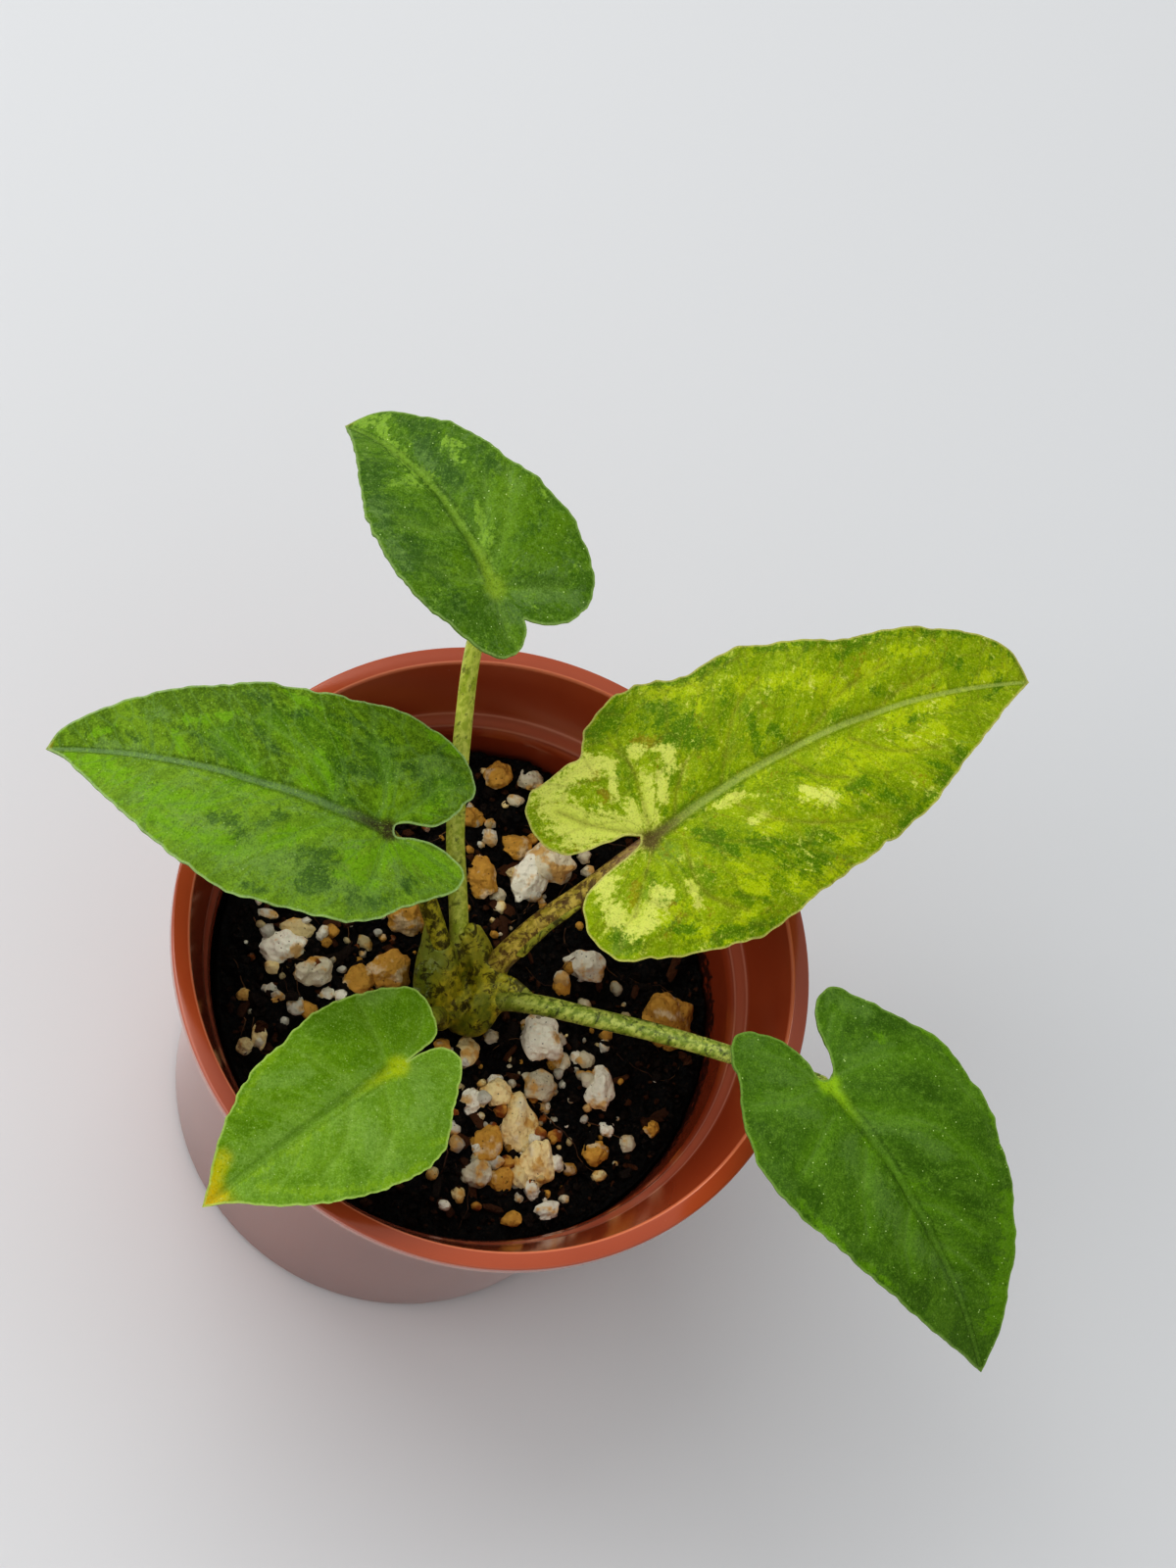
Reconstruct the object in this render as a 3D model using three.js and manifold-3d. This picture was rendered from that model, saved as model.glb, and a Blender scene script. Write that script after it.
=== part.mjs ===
// A young alocasia with five arrowhead leaves, growing in a small terracotta coloured nursery pot.
// Units are millimetres. +Z is up, +X is right and +Y is back, away from a viewer at the front.
// The origin is the centre of the pot's underside, on the pot's axis.
import * as THREE from 'three';
import { mergeVertices } from 'three/addons/utils/BufferGeometryUtils.js';
import Module from 'manifold-3d';

const wasm = await Module();
wasm.setup();

// Driving dimensions of the pot
const POT_HEIGHT = 62;
const RIM_RADIUS = 40;
const RIM_WIDTH = 2.2;
const LIP_HEIGHT = 2;
const RIM_ROUNDING = 0.3;
const COLLAR_DEPTH = 10.8;
const COLLAR_INSET = 3.3;
const SHOULDER_WIDTH = 1.1;
const SHOULDER_DROP = 2.8;
const WALL = 1;
const BASE_RADIUS = 31.2;
const POT_SEGMENTS = 48;
const DRAIN_COUNT = 8;
const DRAIN_RADIUS = 2.5;
const DRAIN_CIRCLE = 21;
const GROOVE_WIDTH = 3;
const GROOVE_DEPTH = 0.5;
const GROOVE_START = 15;

// Driving dimensions of the potting mix and the crown
const GAP = 0.3;
const MIX_LEVEL = 44.6;
const MIX_FALL = [-0.095, 0.03];
const CROWN_CENTRE = [-2.4, -3.2];
const CROWN_RADIUS = 4.8;
const CROWN_BOTTOM = 33;
const CROWN_TOP = 53.5;

// Driving dimensions of the leaves
const BLADE_THICKNESS = 0.75;
const BLADE_ROWS = 24;
const BLADE_COLUMNS = 4;
const HALF_RISE = 0.3;
const HALF_DOME = 0.02;

const POT_PLASTIC = new THREE.MeshStandardMaterial({ color: 0xa8512f, roughness: 0.28, metalness: 0 });
const MIX = new THREE.MeshStandardMaterial({ color: 0x231b15, roughness: 0.95, metalness: 0 });
const CROWN_GREEN = new THREE.MeshStandardMaterial({ color: 0x6b6a20, roughness: 0.5, metalness: 0 });
const STEM_GREEN = new THREE.MeshStandardMaterial({ color: 0xa3ab52, roughness: 0.45, metalness: 0 });

// A repeatable sequence of numbers from 0 to 1
function drawFrom(seed) {
  let state = seed;
  return () => {
    state = (state * 1664525 + 1013904223) % 4294967296;
    return state / 4294967296;
  };
}

// A closed mesh with shared corners and no flat triangles
function weld(geometry) {
  geometry.deleteAttribute('normal');
  geometry.deleteAttribute('uv');
  const merged = mergeVertices(geometry, 1e-4);
  const corners = merged.index.array;
  const kept = [];
  for (let i = 0; i < corners.length; i += 3) {
    const [a, b, c] = corners.slice(i, i + 3);
    if (a !== b && b !== c && c !== a) kept.push(a, b, c);
  }
  merged.setIndex(kept);
  return merged;
}

function solidFrom(geometry) {
  const welded = weld(geometry);
  return new wasm.Manifold(new wasm.Mesh({
    numProp: 3,
    vertProperties: new Float32Array(welded.attributes.position.array),
    triVerts: new Uint32Array(welded.index.array),
  }));
}

function geometryFrom(solid) {
  const { vertProperties, triVerts } = solid.getMesh();
  const geometry = new THREE.BufferGeometry();
  geometry.setAttribute('position', new THREE.BufferAttribute(vertProperties, 3));
  geometry.setIndex(new THREE.BufferAttribute(triVerts, 1));
  geometry.computeVertexNormals();
  return geometry;
}

function named(name, geometry, material) {
  const mesh = new THREE.Mesh(geometry, material);
  mesh.name = name;
  return mesh;
}

// A profile of [radius, height] pairs turned about the Z axis
function turned(profile, segments) {
  const points = profile.map(([radius, height]) => new THREE.Vector2(radius, height));
  return new THREE.LatheGeometry(points, segments).rotateX(Math.PI / 2);
}

// A tapered round rod along a smooth curve, closed at both ends
function taperedRod(points, startRadius, endRadius, steps, sides) {
  const curve = new THREE.CatmullRomCurve3(points.map((p) => new THREE.Vector3(...p)), false, 'centripetal');
  const frames = curve.computeFrenetFrames(steps, false);
  const corners = [];
  for (let i = 0; i <= steps; i += 1) {
    const along = i / steps;
    const centre = curve.getPointAt(along);
    const radius = startRadius + (endRadius - startRadius) * along;
    for (let k = 0; k < sides; k += 1) {
      const angle = (2 * Math.PI * k) / sides;
      const corner = centre.clone()
        .addScaledVector(frames.normals[i], radius * Math.cos(angle))
        .addScaledVector(frames.binormals[i], radius * Math.sin(angle));
      corners.push(corner);
    }
  }
  const faces = [];
  for (let i = 0; i < steps; i += 1) {
    for (let k = 0; k < sides; k += 1) {
      const a = i * sides + k;
      const b = i * sides + ((k + 1) % sides);
      faces.push(a, b, b + sides, a, b + sides, a + sides);
    }
  }
  const last = steps * sides;
  for (let k = 1; k < sides - 1; k += 1) {
    faces.push(0, k + 1, k, last, last + k, last + k + 1);
  }
  return new THREE.BufferGeometry().setFromPoints(corners).setIndex(faces);
}

// The pot: rolled lip, flared collar, inner shoulder, tapered body and a drained base
function innerRadiusAt(height) {
  const shoulderHeight = POT_HEIGHT - COLLAR_DEPTH - SHOULDER_DROP;
  const top = RIM_RADIUS - RIM_WIDTH - COLLAR_INSET - SHOULDER_WIDTH;
  const bottom = BASE_RADIUS - WALL;
  return bottom + (top - bottom) * (height - WALL) / (shoulderHeight - WALL);
}

function potGeometry() {
  const rimInner = RIM_RADIUS - RIM_WIDTH;
  const collarFoot = POT_HEIGHT - COLLAR_DEPTH;
  const bodyTop = rimInner - COLLAR_INSET - SHOULDER_WIDTH;
  const profile = [
    [0, 0],
    [BASE_RADIUS - 1, 0],
    [BASE_RADIUS, 1],
    [bodyTop + WALL, collarFoot - SHOULDER_DROP - 0.2],
    [bodyTop + SHOULDER_WIDTH + WALL, collarFoot - 0.2],
    [rimInner + WALL, POT_HEIGHT - LIP_HEIGHT],
    [RIM_RADIUS - RIM_ROUNDING, POT_HEIGHT - LIP_HEIGHT],
    [RIM_RADIUS, POT_HEIGHT - LIP_HEIGHT + RIM_ROUNDING],
    [RIM_RADIUS, POT_HEIGHT - RIM_ROUNDING],
    [RIM_RADIUS - RIM_ROUNDING, POT_HEIGHT],
    [rimInner + RIM_ROUNDING, POT_HEIGHT],
    [rimInner, POT_HEIGHT - RIM_ROUNDING],
    [bodyTop + SHOULDER_WIDTH, collarFoot],
    [bodyTop + 0.6, collarFoot - 1],
    [bodyTop, collarFoot - SHOULDER_DROP],
    [innerRadiusAt(WALL), WALL],
    [0, WALL],
  ];
  let pot = solidFrom(turned(profile, POT_SEGMENTS));
  for (let i = 0; i < DRAIN_COUNT; i += 1) {
    const angle = (2 * Math.PI * (i + 0.5)) / DRAIN_COUNT;
    const hole = new THREE.CylinderGeometry(DRAIN_RADIUS, DRAIN_RADIUS, 4 * WALL, 12)
      .rotateX(Math.PI / 2).translate(DRAIN_CIRCLE, 0, 0).rotateZ(angle);
    const grooveLength = BASE_RADIUS - GROOVE_START + 1;
    const groove = new THREE.BoxGeometry(grooveLength, GROOVE_WIDTH, 2 * GROOVE_DEPTH)
      .translate(GROOVE_START + grooveLength / 2, 0, 0).rotateZ(angle);
    pot = pot.subtract(solidFrom(hole)).subtract(solidFrom(groove));
  }
  return geometryFrom(pot);
}

// The larger mineral chips at the surface: [x, y, width, length]
const CHIPS = [
  [9.5, -5.5, 4.2, 6.2], [10, -12, 4, 3.5], [7, -16.5, 4.2, 6.5], [18, -11.5, 3.2, 4.8], [4, -13, 3.2, 3],
  [2.5, -20, 3.2, 4.5], [1.5, -24, 3, 3.5], [7.5, -23, 2.2, 3.8], [10, -22, 3.5, 5], [17, -20, 2.8, 3],
  [27, -1.5, 5.8, 6.2], [0, -9, 2.8, 3], [11, -27.5, 3, 2], [8, 15.5, 3.8, 5.5], [6.5, 20.5, 3.8, 3],
  [1.5, 15, 3.2, 5], [11.5, 19, 5, 5], [3, 29, 3.2, 3], [8, 28.5, 3, 2.5], [16, 4.5, 4.5, 3.5],
  [-24, 2, 4.8, 3.5], [-20.5, 0, 4.2, 3.2], [-15, -0.5, 3.8, 3.5], [-10.5, 1, 4.4, 4.2], [-9.5, 9, 4, 4],
];
const SMALL_CHIPS = 20;
const CHIP_SPREAD = 29;
const MIX_RINGS = 9;
const MIX_SPOKES = 40;

// Gentle lumps over a bed that lies a little lower on the right
function mixHeight(x, y) {
  const broad = 0.6 * Math.sin(0.21 * x + 0.3) * Math.cos(0.19 * y - 0.5);
  const middle = 0.45 * Math.sin(0.55 * x - 0.31 * y + 1.2);
  const fine = 0.3 * Math.sin(0.83 * y + 0.47 * x) * Math.sin(0.71 * x - 0.4);
  return MIX_LEVEL + MIX_FALL[0] * x + MIX_FALL[1] * y + broad + middle + fine;
}

function chipSolid(x, y, width, length, draw) {
  const chip = new THREE.IcosahedronGeometry(0.5, 0);
  const welded = weld(chip);
  const corners = welded.attributes.position;
  for (let i = 0; i < corners.count; i += 1) {
    const swell = 0.85 + 0.3 * draw();
    corners.setXYZ(i, corners.getX(i) * swell, corners.getY(i) * swell, corners.getZ(i) * swell);
  }
  const height = Math.min(width, length);
  welded.scale(width, length, height).rotateZ(draw() * 0.8 - 0.4);
  welded.translate(x, y, mixHeight(x, y) + 0.08 * height);
  return solidFrom(welded);
}

function mixGeometry() {
  const rings = MIX_RINGS;
  const spokes = MIX_SPOKES;
  const topRadius = innerRadiusAt(MIX_LEVEL + 1) - GAP;
  const bottomRadius = innerRadiusAt(WALL + GAP) - GAP;
  const corners = [new THREE.Vector3(0, 0, mixHeight(0, 0))];
  for (let ring = 1; ring <= rings; ring += 1) {
    const radius = ((topRadius - 0.4) * ring) / rings;
    for (let k = 0; k < spokes; k += 1) {
      const angle = (2 * Math.PI * (k + 0.5 * (ring % 2))) / spokes;
      const x = radius * Math.cos(angle);
      const y = radius * Math.sin(angle);
      corners.push(new THREE.Vector3(x, y, mixHeight(x, y)));
    }
  }
  for (let k = 0; k < spokes; k += 1) {
    const angle = (2 * Math.PI * (k + 0.5 * (rings % 2))) / spokes;
    corners.push(new THREE.Vector3(bottomRadius * Math.cos(angle), bottomRadius * Math.sin(angle), WALL + GAP));
  }
  corners.push(new THREE.Vector3(0, 0, WALL + GAP));
  const faces = [];
  for (let k = 0; k < spokes; k += 1) faces.push(0, 1 + k, 1 + ((k + 1) % spokes));
  for (let ring = 0; ring < rings; ring += 1) {
    const shift = ring < rings - 1 ? (ring + 1) % 2 : 0;
    for (let k = 0; k < spokes; k += 1) {
      const a = 1 + ring * spokes + k;
      const b = 1 + ring * spokes + ((k + 1) % spokes);
      const c = a + spokes;
      const d = b + spokes;
      if (shift) faces.push(a, c, b, b, c, d);
      else faces.push(a, c, d, a, d, b);
    }
  }
  const floor = 1 + rings * spokes;
  for (let k = 0; k < spokes; k += 1) faces.push(floor + spokes, floor + ((k + 1) % spokes), floor + k);
  let mix = solidFrom(new THREE.BufferGeometry().setFromPoints(corners).setIndex(faces));

  const draw = drawFrom(11);
  for (const [x, y, width, length] of CHIPS) mix = mix.add(chipSolid(x, y, width, length, draw));
  for (let i = 0; i < SMALL_CHIPS; i += 1) {
    const radius = CHIP_SPREAD * Math.sqrt(draw());
    const angle = 2 * Math.PI * draw();
    const size = 1.5 + draw();
    const x = radius * Math.cos(angle);
    const y = radius * Math.sin(angle);
    const fromCrown = Math.hypot(x - CROWN_CENTRE[0], y - CROWN_CENTRE[1]);
    if (fromCrown > CROWN_RADIUS + 2) mix = mix.add(chipSolid(x, y, size, size * 1.2, draw));
  }
  const hole = new THREE.CylinderGeometry(CROWN_RADIUS + GAP, CROWN_RADIUS + GAP, 30, 24)
    .rotateX(Math.PI / 2).translate(CROWN_CENTRE[0], CROWN_CENTRE[1], CROWN_BOTTOM - GAP + 15);
  return geometryFrom(mix.subtract(solidFrom(hole)));
}

// Leaves: where the stalk meets the blade, the way the blade points, and its outline.
// Outlines are [along the midrib, to the left of it], from the notch round a lobe to the tip.
const LEAVES = {
  back: {
    join: [-10.5, 28.5, 102], heading: 126, slope: -16, length: 29, arch: 4, bow: -0.9, wave: 0.2,
    left: [[-4.5, -1], [-6.8, 0.8], [-6.8, 3.8], [-4, 6.4], [0, 8.3], [6, 9.7], [12, 9], [17, 6.8], [22, 3.8]],
    right: [[-4.5, -1], [-6.6, -4], [-6.8, -8], [-3.5, -11.8], [2, -12.8], [8, -11.6], [14, -9.6], [20, -7.8],
      [25, -5.2], [28.2, -2.6]],
    stalk: [[-3, 0.2, 50], [-4, 1.9, 57], [-5.7, 6.8, 63.5], [-7.3, 11.5, 69], [-9, 20.6, 80], [-10.5, 25.7, 92]],
    baseRadius: 1.3, topRadius: 0.95,
  },
  left: {
    join: [-18.5, 5, 84], heading: 167, slope: -11, length: 40.5, arch: 4.5, bow: -0.5, wave: 0.25,
    left: [[-0.8, -0.1], [-3.3, -0.5], [-6.5, -0.4], [-9.3, 1.2], [-9.3, 3.6], [-5.3, 7.5], [0, 11.8], [6, 13.3],
      [13, 13.7], [19, 12.4], [26, 9], [33, 4.8]],
    right: [[-0.8, -0.3], [-2.4, -1.9], [-5.3, -2.8], [-7.6, -6], [-8, -9.5], [-4.5, -13], [2, -14.5], [9, -13.6],
      [17, -12.4], [25, -9.8], [33, -6.4], [38, -3.4]],
    stalk: [[-5.2, -3, 50], [-6.9, 0, 57.5], [-8.8, 3.2, 63], [-12.4, 5.2, 70.5], [-16, 5.4, 77.5]],
    baseRadius: 1.35, topRadius: 1,
  },
  right: {
    join: [14, 8.5, 80], heading: 27, slope: 4, length: 54.5, arch: 4, bow: 3.2, wave: 0.45,
    left: [[-0.9, 1], [-4.5, 2], [-9.5, 3.2], [-11.8, 6.2], [-11, 10.4], [-7.5, 12.2], [-3.4, 13], [-1, 15.6],
      [4, 17.8], [12, 17], [19, 17], [28, 14.6], [37, 12.6], [45, 10.4], [51, 7.2], [53.8, 4.6]],
    right: [[-0.9, 0.4], [-3.6, -0.6], [-8.5, -2.2], [-11, -5], [-10.6, -10], [-7.8, -12.6], [-2, -14.4],
      [5, -15.8], [11, -15.6], [17, -14], [25, -12.4], [32, -10.4], [40, -6.8], [48, -2.8]],
    stalk: [[0.2, -2, 50], [1.2, -0.2, 55.5], [4.5, 2.6, 63], [8.9, 5.1, 70.5], [12, 7.1, 75.8]],
    baseRadius: 1.7, topRadius: 1.15,
  },
  front_right: {
    join: [37, -18.5, 76], heading: -55, slope: -15, length: 39.5, arch: 4.5, bow: 0.6, wave: 0.3,
    left: [[-0.6, 0.9], [-3.3, 2.6], [-6.8, 3.7], [-9.2, 6.6], [-7.6, 9.4], [-3.2, 12], [2, 15], [8, 16],
      [14, 15.2], [20, 13.3], [27, 10], [33, 6], [37, 2.8]],
    right: [[-0.6, 0.1], [-3.3, -0.6], [-6.6, -1.6], [-9.7, -4.6], [-8.8, -8], [-4.7, -10.2], [-1, -12.4],
      [4, -13.7], [10, -13.1], [16, -11.2], [23, -8.3], [31, -4.7], [36, -1.8]],
    stalk: [[-0.2, -5.6, 50], [1.8, -4.4, 53.5], [5.8, -5.8, 58], [11.2, -8.1, 62], [19.5, -11.5, 67.5],
      [26.5, -14.4, 71], [33, -16.8, 73]],
    baseRadius: 1.35, topRadius: 1,
  },
  front_left: {
    join: [-14, -19, 71], heading: -142, slope: -15, length: 27.5, arch: 3, bow: 0, wave: 0.2,
    left: [[-1.3, 0.4], [-3.6, 0.5], [-6.2, 1.8], [-6.2, 4.2], [-3, 7.4], [0, 10.4], [4, 11.8], [9, 11.2],
      [15, 8.8], [20, 5.6], [24.5, 1.8]],
    right: [[-1.3, -0.1], [-3.6, -0.5], [-6, -1.2], [-7.3, -3.6], [-6.8, -6.6], [-3, -9], [3, -10.4], [9, -9.9],
      [14, -8.9], [19, -6.6], [23, -3.8]],
    stalk: [[-4.4, -5.8, 50], [-6, -7, 54.5], [-9.3, -11.2, 61.5], [-12, -15.8, 66]],
    baseRadius: 1.15, topRadius: 0.85,
  },
};

// The stalk's end, just under the blade where the lobes meet
function joinUnder(leaf) {
  const under = BLADE_THICKNESS + GAP + leaf.topRadius;
  const slope = THREE.MathUtils.degToRad(leaf.slope);
  const heading = THREE.MathUtils.degToRad(leaf.heading);
  const [x, y, z] = leaf.join;
  return [
    x + under * Math.sin(slope) * Math.cos(heading),
    y + under * Math.sin(slope) * Math.sin(heading),
    z - under * Math.cos(slope),
  ];
}

function midribOffset(leaf, x) {
  return x > 0 ? (4 * leaf.bow * x * (leaf.length - x)) / leaf.length ** 2 : 0;
}

// Height of the blade over its own flat plane: arched along the midrib, with domed halves
function bladeHeight(leaf, x, y) {
  const along = x / leaf.length;
  const arched = x > 0 ? 4 * leaf.arch * along * (1 - along) : 4 * leaf.arch * along;
  const fromRib = y - midribOffset(leaf, x);
  return arched + HALF_RISE * (Math.hypot(fromRib, 1) - 1) - HALF_DOME * fromRib ** 2;
}

function marginPoints(leaf, side) {
  const points = [...leaf[side], [leaf.length, 0]].map(([x, y]) => new THREE.Vector3(x, y, 0));
  return new THREE.CatmullRomCurve3(points, false, 'centripetal').getSpacedPoints(BLADE_ROWS);
}

function bladeGeometry(leaf) {
  const margins = { left: marginPoints(leaf, 'left'), right: marginPoints(leaf, 'right') };
  const notch = margins.left[0].clone().add(margins.right[0]).multiplyScalar(0.5);
  margins.left[0] = notch;
  margins.right[0] = notch;
  const corners = [];
  const faces = [];
  const sideSize = (BLADE_ROWS + 1) * (BLADE_COLUMNS + 1) * 2;
  ['left', 'right'].forEach((side, sideIndex) => {
    const start = sideIndex * sideSize;
    const at = (row, column, under) => start + (row * (BLADE_COLUMNS + 1) + column) * 2 + under;
    for (let row = 0; row <= BLADE_ROWS; row += 1) {
      const reach = (margins.left[row].x + margins.right[row].x) / 2;
      const forward = THREE.MathUtils.clamp(reach / leaf.length, 0, 1);
      const ribX = leaf.length * forward * (0.6 + 0.4 * forward);
      const rib = new THREE.Vector3(ribX, midribOffset(leaf, ribX), 0);
      for (let column = 0; column <= BLADE_COLUMNS; column += 1) {
        const out = column / BLADE_COLUMNS;
        const point = rib.clone().lerp(margins[side][row], out);
        const ends = Math.sin((Math.PI * row) / BLADE_ROWS);
        const ripple = leaf.wave * ends * out ** 3 * Math.sin(2.1 * row + 1.7 * sideIndex);
        const height = bladeHeight(leaf, point.x, point.y) + ripple;
        corners.push(new THREE.Vector3(point.x, point.y, height));
        corners.push(new THREE.Vector3(point.x, point.y, height - BLADE_THICKNESS));
      }
    }
    const push = (a, b, c) => (side === 'left' ? faces.push(a, b, c) : faces.push(a, c, b));
    for (let row = 0; row < BLADE_ROWS; row += 1) {
      for (let column = 0; column < BLADE_COLUMNS; column += 1) {
        const a = [row, column];
        const b = [row + 1, column];
        const c = [row + 1, column + 1];
        const d = [row, column + 1];
        push(at(...a, 0), at(...b, 0), at(...c, 0));
        push(at(...a, 0), at(...c, 0), at(...d, 0));
        push(at(...a, 1), at(...c, 1), at(...b, 1));
        push(at(...a, 1), at(...d, 1), at(...c, 1));
      }
      const edge = BLADE_COLUMNS;
      push(at(row, edge, 0), at(row + 1, edge, 0), at(row + 1, edge, 1));
      push(at(row, edge, 0), at(row + 1, edge, 1), at(row, edge, 1));
    }
  });
  const geometry = weld(new THREE.BufferGeometry().setFromPoints(corners).setIndex(faces));
  geometry.computeVertexNormals();
  return geometry;
}

const BLADE_COLOURS = { back: 0x4c7a2b, left: 0x4f8a22, right: 0xa5bd25, front_right: 0x3a6a1c, front_left: 0x6a9c1f };

// The crown: a swollen base with a sheath round each stalk and the stub of an old leaf
const STUB = [[-1.6, -1.4, 51], [-1.7, 0.6, 56], [-2.2, 2.2, 60.5]];
const SHEATH_HEIGHT = 57.5;

function crownGeometry() {
  const profile = [
    [0, CROWN_BOTTOM],
    [2.6, CROWN_BOTTOM + 0.6],
    [4.2, 40],
    [CROWN_RADIUS, 46],
    [CROWN_RADIUS - 0.2, 49],
    [CROWN_RADIUS - 1, 51.5],
    [2.2, CROWN_TOP - 0.4],
    [0, CROWN_TOP],
  ];
  let crown = solidFrom(turned(profile, 20).translate(CROWN_CENTRE[0], CROWN_CENTRE[1], 0));
  crown = crown.add(solidFrom(taperedRod(STUB, 1.5, 0.9, 4, 8)));
  for (const leaf of Object.values(LEAVES)) {
    const [start, next] = leaf.stalk;
    const top = new THREE.Vector3(...start).lerp(new THREE.Vector3(...next), 0.9);
    const root = [
      (start[0] + CROWN_CENTRE[0]) / 2,
      (start[1] + CROWN_CENTRE[1]) / 2,
      start[2] - 4,
    ];
    const sheath = taperedRod([root, start, top.toArray()], leaf.baseRadius + 1.1, leaf.baseRadius + 0.7, 5, 10);
    crown = crown.add(solidFrom(sheath));
  }
  for (const leaf of Object.values(LEAVES)) {
    const points = [...leaf.stalk, joinUnder(leaf)];
    const socket = taperedRod(points, leaf.baseRadius + GAP, leaf.topRadius + GAP, 14, 8);
    crown = crown.subtract(solidFrom(socket));
  }
  return geometryFrom(crown);
}

const plant = new THREE.Group();
plant.add(named('pot', potGeometry(), POT_PLASTIC));
plant.add(named('potting_mix', mixGeometry(), MIX));
plant.add(named('crown', crownGeometry(), CROWN_GREEN));

for (const [place, leaf] of Object.entries(LEAVES)) {
  const stalk = taperedRod([...leaf.stalk, joinUnder(leaf)], leaf.baseRadius, leaf.topRadius, 14, 8);
  plant.add(named(`stalk_${place}`, stalk, STEM_GREEN));
  const surface = new THREE.MeshStandardMaterial({ color: BLADE_COLOURS[place], roughness: 0.5, metalness: 0 });
  const blade = named(`leaf_${place}`, bladeGeometry(leaf), surface);
  blade.position.set(...leaf.join);
  blade.rotation.set(
    0,
    -THREE.MathUtils.degToRad(leaf.slope),
    THREE.MathUtils.degToRad(leaf.heading),
    'ZYX',
  );
  plant.add(blade);
}

export default plant;
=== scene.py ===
# %% [markdown]
# # A young potted alocasia
# Five arrowhead leaves on round stalks rise from one swollen crown in a small glossy nursery pot. The
# measured model already fixes every size and place, so this lesson only makes what the eye looks for:
# fine blades with sunken veins and blotched colour, a crumbly mix with mineral chips, and moulded plastic.
# Everything is in metres in the measured model's own frame, with the centre of the pot's underside at zero.

# %% Load the measured model
import math
import random

import bpy
import numpy as np
from mathutils import Matrix, Vector, noise
from mathutils.geometry import delaunay_2d_cdt


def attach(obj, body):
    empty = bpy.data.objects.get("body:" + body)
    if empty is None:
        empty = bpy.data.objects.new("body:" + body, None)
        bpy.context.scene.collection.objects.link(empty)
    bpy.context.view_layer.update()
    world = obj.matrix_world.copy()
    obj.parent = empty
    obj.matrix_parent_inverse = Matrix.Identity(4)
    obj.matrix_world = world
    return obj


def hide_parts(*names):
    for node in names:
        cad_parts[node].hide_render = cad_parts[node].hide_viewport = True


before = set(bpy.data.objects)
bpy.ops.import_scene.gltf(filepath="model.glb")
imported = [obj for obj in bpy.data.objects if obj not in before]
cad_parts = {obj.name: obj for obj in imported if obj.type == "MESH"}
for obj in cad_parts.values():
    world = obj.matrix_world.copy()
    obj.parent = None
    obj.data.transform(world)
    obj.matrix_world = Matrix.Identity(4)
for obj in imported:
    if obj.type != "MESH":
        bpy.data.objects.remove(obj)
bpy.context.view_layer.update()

MM = 0.001
print("measured nodes:", sorted(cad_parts))

# %% [markdown]
# ## The camera
# The plant is seen from above and in front. The lens, place and three directions below were worked out
# from the pot's rim, whose round shape turns into an ellipse in the picture, so the camera needs no aiming.

# %% Set the camera
camera_data = bpy.data.cameras.new("camera")
camera_data.lens = 67.5
camera_data.sensor_width = 36.0
camera = bpy.data.objects.new("camera", camera_data)
bpy.context.scene.collection.objects.link(camera)
bpy.context.scene.camera = camera
TO_THE_RIGHT = Vector((0.9651, 0.0, 0.2618))
UPWARDS = Vector((-0.0994, 0.9251, 0.3664))
BACKWARDS = Vector((-0.2422, -0.3796, 0.8929))
turn = Matrix((TO_THE_RIGHT, UPWARDS, BACKWARDS)).transposed().to_4x4()
camera.matrix_world = Matrix.Translation((-0.07848, -0.11802, 0.39265)) @ turn
print("camera at", [round(c, 3) for c in camera.location])

# %% [markdown]
# ## Light and floor
# Soft daylight from a large window behind the plant keeps the far inner wall of the pot in shade and lets
# the blades show a broad sheen. Two weaker panels fill the shadows. A plain pale floor lies a little under
# the pot, so that the two never touch.

# %% Hang the lights and lay the floor
scene = bpy.context.scene
scene.view_settings.view_transform = "Standard"
scene.view_settings.look = "High Contrast"
world = bpy.data.worlds.new("pale room")
world.use_nodes = True
world.node_tree.nodes["Background"].inputs["Color"].default_value = (0.96, 0.98, 1.0, 1.0)
world.node_tree.nodes["Background"].inputs["Strength"].default_value = 0.47
scene.world = world


PLANT_MIDDLE = Vector((0.0, 0.0, 0.07))
FLOOR_DROP = 0.0003


def hang_panel(name, place, size, power):
    """A square soft light at a place, turned to face the plant."""
    panel = bpy.data.lights.new(name, "AREA")
    panel.shape = "SQUARE"
    panel.size = size
    panel.energy = power
    lamp = bpy.data.objects.new(name, panel)
    lamp.location = place
    lamp.rotation_euler = (PLANT_MIDDLE - Vector(place)).to_track_quat("-Z", "Y").to_euler()
    scene.collection.objects.link(lamp)


hang_panel("window", (-0.4, 0.55, 1.0), 0.9, 4.9)
hang_panel("left fill", (-0.9, -0.1, 0.7), 0.8, 2.8)
hang_panel("front fill", (0.5, -0.9, 0.9), 0.8, 0.4)
bpy.ops.mesh.primitive_plane_add(size=6.0, location=(0.0, 0.0, -FLOOR_DROP))
floor = bpy.context.object
floor.name = "floor"

# %% [markdown]
# ## A paint box for finishes
# Each finish is one Principled shader with layers of colour over each other, and each layer has a mask.
# A mask is noise, or a value kept at the mesh's points such as the nearness of a vein. The small helper
# class below keeps every finish readable: a texture, a mask or a layer takes one line each.

# %% The paint box


def paint(red, green, blue):
    """A colour from 0 to 255 as it looks on a screen, turned into the linear light that shaders add up."""
    def to_light(value):
        value /= 255.0
        return value / 12.92 if value <= 0.04045 else ((value + 0.055) / 1.055) ** 2.4
    return (to_light(red), to_light(green), to_light(blue), 1.0)


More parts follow.
